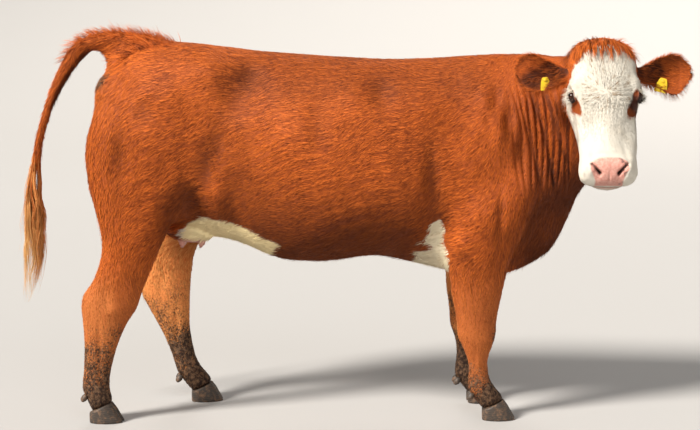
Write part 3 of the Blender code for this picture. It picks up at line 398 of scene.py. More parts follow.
def depth_inside(flat, outline):
    """How far inside a closed outline each flat point lies. It is negative outside."""
    corners = np.array(outline)
    nearest = np.full(len(flat), 1e9)
    crossings = np.zeros(len(flat), bool)
    for start, end in zip(corners, np.roll(corners, -1, axis=0)):
        edge, to_point = end - start, flat - start
        share = np.clip(to_point @ edge / (edge @ edge), 0, 1)
        nearest = np.minimum(nearest, np.linalg.norm(to_point - share[:, None] * edge, axis=1))
        if start[1] != end[1]:
            spans = (start[1] > flat[:, 1]) != (end[1] > flat[:, 1])
            crossings ^= spans & (flat[:, 0] < start[0] + (flat[:, 1] - start[1]) / edge[1] * edge[0])
    return np.where(crossings, nearest, -nearest)


def white_depth(points):
    """How far inside the white hair each point is, in metres: positive is white."""
    body, head = on_body(points), on_head(points)
    wander = 0.006 * ripple(points, 0.035, 11)
    flat = body[:, (0, 2)]
    on_right = body[:, 1] < 0
    belly = depth_inside(flat, BELLY_WHITE) + wander
    belly[(np.abs(body[:, 1]) > 0.19) & (body[:, 0] < -0.585)] = -1.0
    elbow = depth_inside(flat, ELBOW_WHITE)
    middle, size = ELBOW_SPOT
    spot = (1 - np.linalg.norm((flat - middle) / size, axis=1)) * size[1]
    elbow = np.minimum(elbow, -spot) + wander * 0.8
    elbow = np.where(on_right, elbow, elbow - 0.030 + wander)
    round_head = np.degrees(np.arctan2(np.abs(head[:, 1]), head[:, 2] - HEAD_MIDDLE))
    levels, limits = np.array(list(WHITE_FACE)), np.array(list(WHITE_FACE.values()))
    on_right_side, on_left_side = (np.interp(head[:, 0], levels, limits[:, k]) for k in (0, 1))
    limit = np.where(head[:, 1] < 0, on_right_side, on_left_side)
    face = np.radians(limit - round_head) * 0.11 + wander * 1.2
    near_head = (head[:, 0] > -0.05) & (from_middle(head) < 0.19)
    on_ear = np.abs(head[:, 1]) > np.interp(head[:, 0], (0.12, 0.17), (0.112, 0.150))
    face[~near_head | on_ear] = -1.0
    for _, (down, across), size, slant in EYE_PATCHES:
        away = head[:, :2] - (down, across)
        turned = away + slant * away[:, ::-1] * (1, -1)
        patch = (1 - np.linalg.norm(turned / size, axis=1)) * size[1] + wander * 0.4
        face = np.where(head[:, 2] > -0.09, np.minimum(face, -patch), face)
    return np.maximum(np.maximum(belly, elbow), face)


SKIN_TRIANGLES = 138000
eye_middles = from_head(EYES)


def from_eyes(points):
    """How far each point is from the nearer eyeball's middle."""
    return np.minimum(*(np.linalg.norm(points - middle, axis=1) for middle in eye_middles))


places = vertex_places(skin.data)
head = on_head(places)
eye_reach = from_eyes(places)
muzzle_reach = np.linalg.norm((head - (0.46, 0.0, -0.07)) / (0.085, 0.095, 0.085), axis=1)
plainness = fade(eye_reach, 0.045, 0.120) * fade(muzzle_reach, 1.0, 1.9)
plainness[ears] = 0.0
pleated = fade(places[:, 0], 0.56, 0.60) * fade(places[:, 1], 0.08, 0.0) * fade(normals[:, 1], 0.1, -0.3)
pleated *= fade(places[:, 2], 0.80, 0.90) * fade(places[:, 2], 1.34, 1.26) * (head[:, 2] < -0.12)
plainness *= 1 - 0.65 * pleated
plain = skin.vertex_groups.new(name="plain")
for step in range(1, 11):
    band = np.nonzero(np.ceil(plainness * 10) == step)[0]
    plain.add(band.tolist(), step / 10, "REPLACE")
thin = skin.modifiers.new("thin", "DECIMATE")
thin.ratio = SKIN_TRIANGLES / (2 * len(skin.data.polygons))
thin.vertex_group = "plain"
thin.use_collapse_triangulate = True
kept_modifiers(skin)
skin.vertex_groups.clear()


# Finer skin round the eyes and on the nose, for the lids, the nostrils and the mouth.
def refined(bm, wanted):
    """Halves the edges of every face that has a wanted corner."""
    bm.verts.ensure_lookup_table()
    edges = {edge for k in np.nonzero(wanted)[0] for face in bm.verts[k].link_faces for edge in face.edges}
    bmesh.ops.subdivide_edges(bm, edges=list(edges), cuts=1, use_grid_fill=True)
    bmesh.ops.triangulate(bm, faces=[face for face in bm.faces if len(face.verts) > 3])


def bmesh_places(bm):
    return np.array([vert.co for vert in bm.verts])


EYE_EASING = 8  # passes that smooth the skin round the eyes
clay = bmesh.new()
clay.from_mesh(skin.data)
at = bmesh_places(clay)
head = on_head(at)
on_nose = (head[:, 0] > 0.43) & (head[:, 2] > -0.115) & (np.abs(head[:, 1]) < 0.095)
refined(clay, (from_eyes(at) < 0.044) | on_nose)
refined(clay, from_eyes(bmesh_places(clay)) < 0.031)
clay.verts.ensure_lookup_table()
round_eyes = [clay.verts[k] for k in np.nonzero(from_eyes(bmesh_places(clay)) < 0.042)[0]]
for _ in range(EYE_EASING):
    bmesh.ops.smooth_vert(
        clay, verts=round_eyes, factor=0.5, use_axis_x=True, use_axis_y=True, use_axis_z=True
    )

# Forms of the face: down the face, across, out of it; reach each way; push.
FACE_FORMS = (
    ("cheek bone", (0.290, 0.096, -0.052), (0.060, 0.020, 0.018), 0.004),
    ("below the cheek bone", (0.300, 0.105, -0.090), (0.060, 0.020, 0.018), -0.004),
    ("side of the nose", (0.390, 0.060, -0.014), (0.060, 0.014, 0.016), -0.005),
    ("bridge", (0.330, 0.000, -0.008), (0.090, 0.030, 0.020), 0.003),
    ("between the brows", (0.140, 0.000, 0.006), (0.050, 0.030, 0.020), -0.003),
    ("brow", (0.158, 0.102, -0.016), (0.022, 0.018, 0.020), 0.005),
    ("under the eye", (0.236, 0.108, -0.040), (0.018, 0.016, 0.020), -0.003),
    ("chewing muscle", (0.200, 0.105, -0.160), (0.050, 0.030, 0.055), 0.005),
    ("top of the nose pad", (0.418, 0.000, -0.012), (0.008, 0.050, 0.020), -0.0025),
    ("nose pad", (0.450, 0.000, -0.020), (0.024, 0.048, 0.024), 0.0045),
    ("nostril's upper rim", (0.444, 0.050, -0.020), (0.012, 0.022, 0.014), 0.0040),
    ("nostril's outer rim", (0.462, 0.067, -0.036), (0.018, 0.009, 0.018), 0.0040),
    ("channel of the lip", (0.488, 0.000, -0.050), (0.022, 0.004, 0.026), -0.0030),
    ("upper lip", (0.490, 0.046, -0.070), (0.014, 0.030, 0.016), 0.0035),
    ("lower lip", (0.500, 0.000, -0.116), (0.016, 0.048, 0.008), 0.0035),
    ("chin", (0.480, 0.000, -0.136), (0.024, 0.034, 0.012), 0.003),
)
NOSTRIL_IN, NOSTRIL_OUT = (0.484, 0.031), (0.456, 0.060)  # ends of the left one's slit
NOSTRIL_DEPTH, NOSTRIL_WIDTH = 0.017, 0.0052
NOSTRIL_WAY = np.array((-0.6, 0.0, -0.8))
MOUTH_FRONT, MOUTH_REAR = (0.520, -0.098), (0.385, -0.137)
MOUTH_DEPTH, MOUTH_WIDTH = 0.0075, 0.0032


def slit(head, start, end, width):
    """How near each point is to a straight line, 1 on it, and the share of the way along it."""
    start, end = np.array(start), np.array(end)
    share = np.clip((head - start) @ (end - start) / ((end - start) @ (end - start)), 0, 1)
    away = np.linalg.norm(head - start - share[:, None] * (end - start), axis=1)
    return np.exp(-((away / width) ** 2)), share


def nostrils(head):
    """How deep each point goes into a nostril."""
    mirrored = np.stack((head[:, 0], np.abs(head[:, 1])), axis=1)
    near, share = slit(mirrored, NOSTRIL_IN, NOSTRIL_OUT, NOSTRIL_WIDTH)
    return NOSTRIL_DEPTH * near * (1 - 0.5 * share) * fade(head[:, 2], -0.085, -0.065)


def face_push(head):
    """How far the face is pushed out, and how near each point is to the line of the closed mouth."""
    jowl = 0.012 * stroke(head, (0.355, 0.085, -0.070), (0.075, 0.030, 0.060))
    push = pushed(head, FACE_FORMS, True) + jowl
    rear, front = np.array(MOUTH_REAR), np.array(MOUTH_FRONT)
    line = rear[1] + (head[:, 0] - rear[0]) * (front - rear)[1] / (front - rear)[0]
    line = line - 0.10 * head[:, 1] ** 2 / 0.09
    closed = np.exp(-(((head[:, 2] - line - 0.002) / MOUTH_WIDTH) ** 2))
    closed *= fade(head[:, 0], rear[0] - 0.01, rear[0] + 0.04)
    return push - MOUTH_DEPTH * closed, closed


# The lids: skin drawn over the eyeball, with an almond opening that slants down to the nose.
GAZES = ((-0.18, 0.80, 0.52), (-0.18, -0.80, 0.52))
OPENING_LONG, OPENING_HIGH = 0.90, 0.62  # half its length and height, in shares of the ball


def eye_axes(side):
    """The gaze, the way from the outer to the inner corner, and the way up across the eye."""
    gaze = np.array(GAZES[side])
    gaze /= np.linalg.norm(gaze)
    inward = np.array((0.93, -0.42 if side == 0 else 0.42, 0.10))
    inward -= gaze * (inward @ gaze)
    inward /= np.linalg.norm(inward)
    upward = np.cross(inward, gaze) * (1 if side == 0 else -1)
    return gaze, inward, upward


def seen_from_eye(head, side):
    """Each point's reach and way from an eyeball, and how far out it is across its lids, open to 1."""
    away = head - EYES[side]
    reach = np.linalg.norm(away, axis=1)
    way = away / reach[:, None]
    gaze, inward, upward = eye_axes(side)
    ahead, long, high = way @ gaze, way @ inward, way @ upward
    almond = (np.abs(long) / OPENING_LONG) ** 2.0 + (high / OPENING_HIGH + 0.10 * long) ** 2
    return reach, way, ahead, high, np.where(ahead > 0, almond, 9)


def lid_reach(head):
    """How far out each point is across the nearer eye's lids: 1 at their edge, 9 away from the eyes."""
    almonds = []
    for side in (0, 1):
        reach, _, _, _, almond = seen_from_eye(head, side)
        almonds.append(np.where(reach < 0.045, almond + 8 * fade(reach, 0.0285, 0.0320), 9))
    return np.minimum(*almonds)


def lidded(head, side):
    """Places of the skin round one eye, drawn over the ball or tucked behind it."""
    reach, way, ahead, high, almond = seen_from_eye(head, side)
    seen = (reach < 0.045) & (ahead > 0.05)
    lid = fade(almond, 0.92, 1.12) * fade(almond, 3.2, 1.3)
    inside = fade(almond, 1.05, 0.90)
    crease = np.exp(-(((almond - 1.85) / 0.30) ** 2)) * fade(high, 0.0, 0.3) * fade(reach, 0.032, 0.026)
    over = np.maximum(reach, EYE_RADIUS + LID_THICK) + 0.0010 * lid
    goal = over * lid + np.maximum(reach, EYE_RADIUS + 0.001) * (1 - lid) - 0.0022 * crease
    goal = goal * (1 - inside) + (EYE_RADIUS - LID_TUCK) * inside
    return np.where(seen[:, None], EYES[side] + way * goal[:, None], head)


clay.normal_update()
at = bmesh_places(clay)
normals = np.array([vert.normal for vert in clay.verts])
head = on_head(at)
facing = (head[:, 0] > 0.05) & (from_middle(head) < 0.19)
into_nose = nostrils(head)
push, closed = face_push(head)
# Painted shade inside the nostrils and along the line of the closed mouth.
opening_shade = np.clip(1.3 * into_nose / NOSTRIL_DEPTH - 0.15, 0, 1)
opening_shade += 0.8 * closed * (head[:, 0] > 0.40) * facing
head = head + (normals @ HEAD_AXES.T) * (push * facing)[:, None] + into_nose[:, None] * NOSTRIL_WAY
for side in (0, 1):
    head = lidded(head, side)
for vert, place in zip(clay.verts, from_head(head)):
    vert.co = place
clay.to_mesh(skin.data)
clay.free()
skin.data.shade_smooth()

# The unwrap of the skin's own shape, on which each tuft has its patch.
skin.data.uv_layers.new(name="OFBake")
bpy.context.view_layer.objects.active = skin
bpy.ops.object.select_all(action="DESELECT")
skin.select_set(True)
bpy.ops.object.mode_set(mode="EDIT")
bpy.ops.mesh.select_all(action="SELECT")
bpy.ops.uv.smart_project(angle_limit=1.15, island_margin=0.002, scale_to_bounds=True)
bpy.ops.object.mode_set(mode="OBJECT")

# hind or fore, right or left: where the mud starts, where it is thickest, and its share there
MUDDY_LEGS = {
    (True, True): (0.54, 0.08, 0.66),
    (True, False): (0.64, 0.06, 0.74),
    (False, True): (0.26, 0.05, 0.55),
    (False, False): (0.50, 0.14, 0.95),
}


def mud_depth(body):
    """0 on clean hair to 1 where the feet and hocks are caked with mud."""
    low = body[:, 2]
    total = np.zeros(len(body))
    for (hind, right), (top, foot, most) in MUDDY_LEGS.items():
        leg = ((body[:, 0] < -0.2) == hind) & ((body[:, 1] < 0) == right)
        wander = 0.06 * ripple(body, 0.12, 21) + 0.03 * ripple(body, 0.04, 22)
        total += leg * (most * fade(low + wander, top, foot) + 0.25 * fade(low + wander * 0.3, 0.12, 0.07))
    knee = stroke(body, (0.545, -0.130, 0.315), (0.030, 0.070, 0.075))
    shin = stroke(body, (0.545, -0.130, 0.190), (0.026, 0.060, 0.090))
    stain = body - (-0.915, -0.140, 1.288)
    stain[:, 0] -= 0.5 * stain[:, 2]
    rump = stroke(stain, (0.0, 0.0, 0.0), (0.030, 0.100, 0.060))
    return np.clip(total + 0.50 * knee + 0.45 * shin + 0.80 * rump, 0, 1)


def bare_share(head, body):
    """Where the hide shows with hardly any hair: the nose, the lips, the lids and the udder."""
    corner = np.maximum(np.abs(head[:, 1]) - 0.034, 0) * 0.45
    half = np.interp(head[:, 0], (0.43, 0.47, 0.50), (0.058, 0.066, 0.047))
    pad = fade(head[:, 0] - corner, 0.430, 0.437) * fade(np.abs(head[:, 1]), half + 0.004, half - 0.003)
    pad *= fade(head[:, 2], -0.088, -0.078)
    lips = 0.6 * fade(head[:, 0], 0.470, 0.495) * fade(np.abs(head[:, 2] + 0.104), 0.010, 0.006)
    lids = fade(lid_reach(head), 1.60, 1.30)
    udder = stroke(body, (-0.600, 0.0, 0.660), (0.10, 0.10, 0.06))
    return np.clip(pad + lips + lids + fade(udder, 0.45, 0.7), 0, 1)


def brown_and_shade_share(head, body, normals):
    """Where rust hair is painted darker: brown patches below the eyes, the left ones partly as painted shade,
    dark lid rims, darker hair low on the legs and under the tail, and painted shade under the tail, in the
    body's hollows, on surfaces that face down, on the brisket under the jaw, in the neck's pleats and on the
    hip, back, flank and belly.
    """
    total = np.zeros(len(head))
    # Brown patches below the eyes; the left eye's are painted darker, partly as painted shade on that side of
    # the face.
    for side, (down, across), size, slant in EYE_PATCHES:
        away = head[:, :2] - (down, across)
        dark = fade(np.linalg.norm(away, axis=1), 0.050, 0.025) * fade(head[:, 2], -0.12, -0.09)
        total += dark * (0.62 if side == "left" else 0.25)
    total += 0.25 * fade(body[:, 2], 0.30, 0.12) + fade(lid_reach(head), 1.55, 1.25)
    # Painted shade in the hollows of the body's forms.
    total += 0.50 * np.clip(-pushed(body, BODY_FORMS, True) / 0.020, 0, 1)
    on_face = (head[:, 2] > -0.17) & (np.abs(head[:, 1]) < 0.13) & (head[:, 0] > -0.05)
    above_legs = fade(body[:, 2], 0.50, 0.60)
    # Painted shade on surfaces that face down, and on the brisket under the jaw.
    total += 0.45 * fade(normals[:, 2], 0.0, -0.60) * above_legs * (body[:, 0] > -0.70) * ~on_face
    total += 0.38 * fade(body[:, 0], 0.60, 0.70) * fade(body[:, 2], 1.04, 0.88) * above_legs
    # Darker hair and painted shade under the tail.
    under_tail = fade(body[:, 0], -0.94, -0.97) * fade(body[:, 2], 1.10, 1.20)
    total += 0.85 * under_tail * fade(normals @ (0.80, 0.0, -0.60), 0.25, 0.75)
    # Painted shade in the neck's pleats.
    creases = neck_folds(body, head, np.tile((0.0, -1.0, 0.0), (len(head), 1)))
    total += 0.60 * fade(-creases, 0.0035, 0.0100)
    # Painted shade on the hip, along the back, on the flank and low on the barrel.
    hip = stroke(body, (-0.420, 0.0, 1.280), (0.095, 0.40, 0.090))
    back = fade(body[:, 2], 1.14, 1.28) * fade(body[:, 0], -0.42, -0.20) * fade(body[:, 0], 0.60, 0.45)
    flank = stroke(body, (-0.400, 0.0, 0.960), (0.120, 0.50, 0.160))
    belly = fade(body[:, 2], 1.00, 0.78) * fade(body[:, 0], -0.50, -0.30) * fade(body[:, 0], 0.34, 0.20)
    total += 0.44 * hip + 0.30 * back + 0.22 * flank + 0.24 * belly * (body[:, 2] > 0.5)
    return np.clip(total, 0, 1)


WHITE_EDGE = 0.030  # the marks' white share goes from 0 to 1 over this much


def ear_sides(points, normals):
    """How far each normal faces into its ear's hollow, and the way to that ear's tip."""
    right = (on_head(points)[:, 1] < 0).astype(int)
    return (normals * np.array(EAR_HOLLOWS)[right]).sum(axis=1), np.array(EAR_TIPS)[right]


def on_ears(head):
    """Which points are on the ears."""
    return (np.abs(head[:, 1]) > EAR_ROOT) & (np.abs(head[:, 0] - 0.10) < 0.12) & (head[:, 2] > -0.20)


def pale_share(points, head, body, normals):
    """Where the hair is bleached: low on the legs, inside them, and the cream under the belly."""
    low = 0.34 * fade(body[:, 2], 0.66, 0.30)
    low = low + 0.25 * fade(body[:, 2], 0.60, 0.45) * fade(body[:, 0], -0.84, -0.90)
    inside = fade(-normals[:, 1] * np.sign(body[:, 1]), -0.20, 0.50) * fade(body[:, 2], 0.92, 0.62)
    inside = inside * (np.abs(body[:, 0]) > 0.3)
    belly = fade(body[:, 2], 0.82, 0.74) * (np.abs(body[:, 0]) < 0.62)
    belly = belly * fade(white_depth(points), -0.004, 0.004)
    belly *= 0.45 + 0.55 * fade(body[:, 0], 0.15, -0.15)
    seat = stroke(body, (-0.960, 0.0, 1.240), (0.060, 0.120, 0.090))
    behind_head = (head[:, 0] > 0.6) | (body[:, 0] < 0.60)
    return np.clip((low + inside + 0.6 * seat) * behind_head + belly, 0, 1)


def marks_at(points, normals):
    """The markings at each point: white, mud, brown with painted shade, bare and pale."""
    body, head = on_body(points), on_head(points)
    white = np.clip(0.5 + white_depth(points) / WHITE_EDGE, 0, 1)
    # Painted shade in the hollow of each ear, where it cups.
    left, right = np.abs(head[:, 1] - 0.155) / 0.062, np.abs(head[:, 1] + 0.190) / 0.090
    cup = np.hypot(np.where(head[:, 1] > 0, left, right), (head[:, 0] - 0.076) / 0.038)
    hollow = fade(ear_sides(points, normals)[0], 0.10, 0.50) * on_ears(head) * fade(cup, 1.10, 0.75)
    dark = np.clip(brown_and_shade_share(head, body, normals) + 0.92 * hollow, 0, 1)
    pale = pale_share(points, head, body, normals)
    return np.stack((white, mud_depth(body), dark, bare_share(head, body), pale), axis=1)


def give_marks(mesh, marks):
    """Keeps the markings with the mesh, for its material to read."""
    layer = mesh.color_attributes.new(name="marks", type="FLOAT_COLOR", domain="POINT")
    layer.data.foreach_set("color", marks[:, :4].astype(np.float32).ravel())
    layer = mesh.attributes.new(name="pale", type="FLOAT", domain="POINT")
    layer.data.foreach_set("value", marks[:, 4].astype(np.float32))


def feed(socket, value):
    """Links an output to this input, or sets a plain value on it."""
    if isinstance(value, bpy.types.NodeSocket):
        tree.links.new(value, socket)
    else:
        socket.default_value = value


def node(kind, inputs=(), **settings):
    """Adds a node to the tree at hand, sets it up, and feeds its inputs."""
    made = tree.nodes.new(kind)
    for name, value in settings.items():
        setattr(made, name, value)
    for name, value in dict(inputs).items():
        feed(made.inputs[name], value)
    return made


def group(name, inputs, outputs):
    """An empty shader group with sockets of these names and kinds."""
    made = bpy.data.node_groups.new(name, "ShaderNodeTree")
    for socket, kind in inputs.items():
        made.interface.new_socket(socket, in_out="INPUT", socket_type=kind)
    for socket, kind in outputs.items():
        made.interface.new_socket(socket, in_out="OUTPUT", socket_type=kind)
    return made, made.nodes.new("NodeGroupInput"), made.nodes.new("NodeGroupOutput")


RUST_LIGHT, RUST, RUST_DEEP = (0.830, 0.200, 0.033, 1), (0.430, 0.082, 0.0120, 1), (0.120, 0.020, 0.0042, 1)
CREAM, CREAM_SHADE = (0.66, 0.615, 0.53, 1), (0.50, 0.41, 0.29, 1)
BROWN, MUD, MUD_DRY = (0.050, 0.012, 0.005, 1), (0.026, 0.013, 0.008, 1), (0.190, 0.105, 0.058, 1)
PINK, PINK_DEEP, NOSE_GREY = (0.80, 0.42, 0.34, 1), (0.68, 0.30, 0.24, 1), (0.24, 0.13, 0.11, 1)
LID_RIM_AND_OPENING_SHADE = (0.020, 0.009, 0.007, 1)
TAN, BLOND = (0.780, 0.330, 0.100, 1), (0.780, 0.520, 0.210, 1)
CREAM_WARM, CREAM_PARTING_SHADE = (0.95, 0.78, 0.44, 1), (0.30, 0.20, 0.12, 1)

coat_colour, given, result = group(
    "coat_colour",
    {"Tone": "NodeSocketFloat", "Tip": "NodeSocketFloat"},
    {"Color": "NodeSocketColor"},
)
tree = coat_colour
here = node("ShaderNodeTexCoord").outputs["Object"]
marks = node("ShaderNodeAttribute", attribute_name="marks")
split = node("ShaderNodeSeparateColor", {"Color": marks.outputs["Color"]})
dark, muddied = split.outputs["Blue"], split.outputs["Green"]


def noise(size, detail=3.0, roughness=0.55):
    """Soft blotches of this size in metres, at the place that is called here."""
    inputs = {"Vector": here, "Scale": 1 / size, "Detail": detail, "Roughness": roughness}
    return node("ShaderNodeTexNoise", inputs).outputs["Fac"]


def mapped(value, low, high):
    """0 at the low value and 1 at the high one, with soft ends."""
    inputs = {"Value": value, "From Min": low, "From Max": high}
    return node("ShaderNodeMapRange", inputs, interpolation_type="SMOOTHSTEP").outputs["Result"]


def mixed(share, first, second):
    """The first colour, turned into the second one by a share."""
    return node("ShaderNodeMix", {0: share, 6: first, 7: second}, data_type="RGBA").outputs[2]


def sum_of(first, second):
    """The sum of two values."""
    return node("ShaderNodeMath", {0: first, 1: second}, operation="ADD").outputs[0]


def part_of(first, second):
    """The product of two values."""
    return node("ShaderNodeMath", {0: first, 1: second}, operation="MULTIPLY").outputs[0]


broad, patchy, fine_grain = noise(0.25), noise(0.045), noise(0.006)
tuft_tone = given.outputs["Tone"]
drift = sum_of(part_of(broad, 0.5), part_of(patchy, 0.2))
tone = mapped(sum_of(tuft_tone, drift), 0.34, 1.26)
rust = mixed(tone, RUST_DEEP, RUST)
# Painted light and shade along each tuft: darker at its root and lighter towards its tip.
rust = mixed(part_of(given.outputs["Tip"], tone), rust, RUST_LIGHT)
pale = node("ShaderNodeAttribute", attribute_name="pale").outputs["Fac"]
rust = mixed(pale, rust, mixed(tone, RUST, TAN))
rust = mixed(mapped(pale, 1.0, 2.0), rust, mixed(tone, TAN, BLOND))
# Brown markings and painted shade, from the marks' blue share.
rust = mixed(dark, rust, BROWN)

# Painted shade in the cream hair: darker cream on low-toned tufts, and near-black on the lowest, as shade in
# the partings between locks.
cream = mixed(sum_of(tuft_tone, patchy), CREAM_SHADE, CREAM)
cream = mixed(mapped(tuft_tone, 0.30, 0.02), cream, CREAM_PARTING_SHADE)
cream = mixed(pale, cream, CREAM_WARM)
white = mapped(sum_of(split.outputs["Red"], part_of(fine_grain, 0.16)), 0.50, 0.66)
hair = mixed(white, rust, cream)

caked = sum_of(noise(0.007, 3.0, 0.60), part_of(noise(0.05), 0.4))
caked = sum_of(caked, part_of(tuft_tone, -0.25))
muddy = mapped(sum_of(muddied, caked), 0.80, 1.18)
muddy = part_of(muddy, mapped(muddied, 0.0, 0.12))
dried = sum_of(noise(0.012, 4.0), part_of(tuft_tone, 0.5))
hair = mixed(muddy, hair, mixed(mapped(dried, 0.60, 1.0), MUD, MUD_DRY))

pink = mixed(mapped(noise(0.008), 0.35, 0.65), PINK_DEEP, PINK)
mottle = mapped(noise(0.016, 4.0), 0.50, 0.62)
sideways = node("ShaderNodeSeparateXYZ", {"Vector": here}).outputs["X"]
mottle = part_of(mottle, mapped(sideways, poll[0] + 0.005, poll[0] + 0.045))
# Dark lid rims, and painted shade in the nostrils and along the mouth, on the bare skin.
pink = mixed(dark, mixed(mottle, pink, NOSE_GREY), LID_RIM_AND_OPENING_SHADE)
feed(result.inputs["Color"], mixed(marks.outputs["Alpha"], hair, pink))


def new_material(name):
    """A material, its shader and its node tree."""
    made = bpy.data.materials.new(name)
    made.use_nodes = True
    return made, made.node_tree.nodes["Principled BSDF"], made.node_tree


hide, shader, tree = new_material("hide")
colour = node("ShaderNodeGroup", node_tree=coat_colour)
colour.inputs["Tone"].default_value = 0.42
colour.inputs["Tip"].default_value = 0.20
here = node("ShaderNodeTexCoord").outputs["Object"]
combed = node("ShaderNodeMapping", {"Vector": here, "Scale": (160, 900, 160)})
strands = node("ShaderNodeTexNoise", {"Vector": combed.outputs["Vector"], "Scale": 1.0, "Detail": 2.0})
bareness = node("ShaderNodeAttribute", attribute_name="marks").outputs["Alpha"]
pores = node("ShaderNodeTexVoronoi", {"Vector": here, "Scale": 320.0}, feature="F1")
relief = node("ShaderNodeMix", {0: bareness, 2: strands.outputs["Fac"], 3: pores.outputs["Distance"]})
bump = node("ShaderNodeBump", {"Height": relief.outputs[0], "Strength": 0.35, "Distance": 0.0015})
wet = node("ShaderNodeMapRange", {"Value": bareness, "To Min": 0.72, "To Max": 0.38})
feed(shader.inputs["Base Color"], colour.outputs["Color"])
feed(shader.inputs["Normal"], bump.outputs["Normal"])
feed(shader.inputs["Roughness"], wet.outputs["Result"])
shader.inputs["Specular IOR Level"].default_value = 0.2

skin_places = vertex_places(skin.data)
skin_marks = marks_at(skin_places, vertex_normals(skin.data))
# The nostrils and the mouth's line take painted shade, on bare skin.
skin_marks[:, 2] = np.clip(skin_marks[:, 2] + opening_shade, 0, 1)
skin_marks[:, 3] = np.clip(skin_marks[:, 3] + opening_shade, 0, 1)
give_marks(skin.data, skin_marks)
skin.data.materials.append(hide)
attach(skin, "root")
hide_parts(*BODY_NODES, *EAR_NODES, "udder", "tail_upper", "tail_lower")

# ------------------------------------------------------------------------------- the coat
# Short hair in thin pointed tufts that overlap like tiles, sown all over the skin in numbers that
# follow its area. Each lies along the body the way the hair grows there, its root under the skin.
sown_from = skin.data
sown_from.calc_loop_triangles()
corner_verts = read(sown_from.loop_triangles, "vertices", 3, np.int32)
corner_loops = read(sown_from.loop_triangles, "loops", 3, np.int32)
skin_normals = vertex_normals(sown_from)
skin_uvs = read(sown_from.uv_layers["OFBake"].uv, "vector", 2)
corners = skin_places[corner_verts]
face_ways = np.cross(corners[:, 1] - corners[:, 0], corners[:, 2] - corners[:, 0])
areas = np.linalg.norm(face_ways, axis=1) / 2
centres = corners.mean(axis=1)


def unit(ways, least=1e-12):
    """The same ways with a length of 1."""
    return ways / np.maximum(np.linalg.norm(ways, axis=-1, keepdims=True), least)


def sown(count, thickness, seed):
    """Roots of this many tufts: places, normals, UVs. thickness says how thickly each face is sown."""
    draw = np.random.default_rng(seed)
    share = np.cumsum(areas * thickness)
    picked = np.searchsorted(share, draw.uniform(0, share[-1], count))
    a, b = draw.uniform(size=(2, count))
    flip = a + b > 1
    a, b = np.where(flip, 1 - a, a), np.where(flip, 1 - b, b)
    weights = np.stack((1 - a - b, a, b), axis=1)[:, :, None]
    places = (skin_places[corner_verts[picked]] * weights).sum(axis=1)
    normals = unit((skin_normals[corner_verts[picked]] * weights).sum(axis=1))
    return places, normals, (skin_uvs[corner_loops[picked]] * weights).sum(axis=1), draw


def blended(ways, way, share):
    """Turns the ways towards another way by a share at each point."""
    return ways * (1 - share)[:, None] + np.asarray(way, float) * share[:, None]


WHORL = 0.196  # how far down the face the hair parts, round a whorl between the eyes


def lie(points, normals):
    """The way that the hair grows at each point, along the skin."""
    body, head = on_body(points), on_head(points)
    ways = np.tile((-1.0, 0.0, -0.42), (len(points), 1))
    neck = fade(body[:, 0], 0.38, 0.62)
    rump = fade(body[:, 0], -0.70, -0.90) * fade(body[:, 2], 1.35, 1.25)
    legs = fade(body[:, 2], 0.66, 0.52) * fade(np.abs(body[:, 1]), 0.03, 0.08)
    tail = fade(body[:, 0], -0.985, -1.02) * fade(body[:, 2], 0.95, 1.15)
    for back, share in ((-0.35, neck), (-0.25, rump), (-0.12, legs), (-0.35, tail)):
        ways = blended(ways, (back, 0.0, -1.0), share)
    on_face = fade(head[:, 0], -0.07, -0.02) * fade(from_middle(head), 0.21, 0.18)
    along = unit((head - (WHORL, 0.0, 0.0)) * (1.0, 0.8, 0.0), 0.01)
    along = blended(along, (1.0, 0.0, 0.0), fade(head[:, 0], WHORL, WHORL + 0.06) * 0.8)
    along = blended(along, (-1.0, 0.0, 0.0), fade(head[:, 0], WHORL - 0.02, WHORL - 0.07) * 0.3)
    cheek = fade(np.abs(head[:, 1]), 0.085, 0.105) * fade(head[:, 2], -0.06, -0.11)
    along = blended(along, (0.35, 0.0, -1.0), cheek)
    ways = ways * (1 - on_face)[:, None] + (along @ HEAD_AXES) * on_face[:, None]
    ears = (np.abs(head[:, 1]) > EAR_ROOT) & (np.abs(head[:, 0] - 0.10) < 0.10) & (head[:, 2] > -0.20)
    outward = np.sign(head[:, 1:2]) * (0.0, 1.0, 0.0) + (0.10, 0.0, 0.0)
    ways = np.where(ears[:, None], outward @ HEAD_AXES, ways)
    turn = 0.22 * ripple(points, 0.16, 31) + 0.16 * ripple(points, 0.05, 32)
    ways += np.cross(normals, ways) * turn[:, None]
    return unit(ways - normals * (ways * normals).sum(axis=1)[:, None], 1e-6)


# One tuft: a flat three-sided spike, x across and z up, with its length along y.
def tuft_form(rings):
    """Corners and faces of a spike with this many bends between its root and its tip."""
    spike = bmesh.new()
    turn = Matrix.Rotation(math.radians(-90), 4, "X") @ Matrix.Translation((0, 0, 0.5))
    turn = turn @ Matrix.Rotation(math.radians(90), 4, "Z")
    bmesh.ops.create_cone(spike, cap_ends=False, segments=3, radius1=1.0, radius2=0.0, depth=1.0, matrix=turn)
    bmesh.ops.remove_doubles(spike, verts=spike.verts[:], dist=1e-5)
    for k in range(1, rings + 1):
        parts = spike.verts[:] + spike.edges[:] + spike.faces[:]
        bmesh.ops.bisect_plane(spike, geom=parts, plane_co=(0, k / (rings + 1), 0), plane_no=(0, 1, 0))
    bmesh.ops.triangulate(spike, faces=spike.faces[:])
    corners = np.array([vert.co for vert in spike.verts])
    faces = np.array([[vert.index for vert in face.verts] for face in spike.faces])
    spike.free()
    return corners, faces


SHORT_TUFT, BENT_TUFT, FEATHER, LOCK = (tuft_form(rings) for rings in (0, 1, 2, 4))
UV_PATCH = 0.003  # the width of each tuft's patch on the unwrap

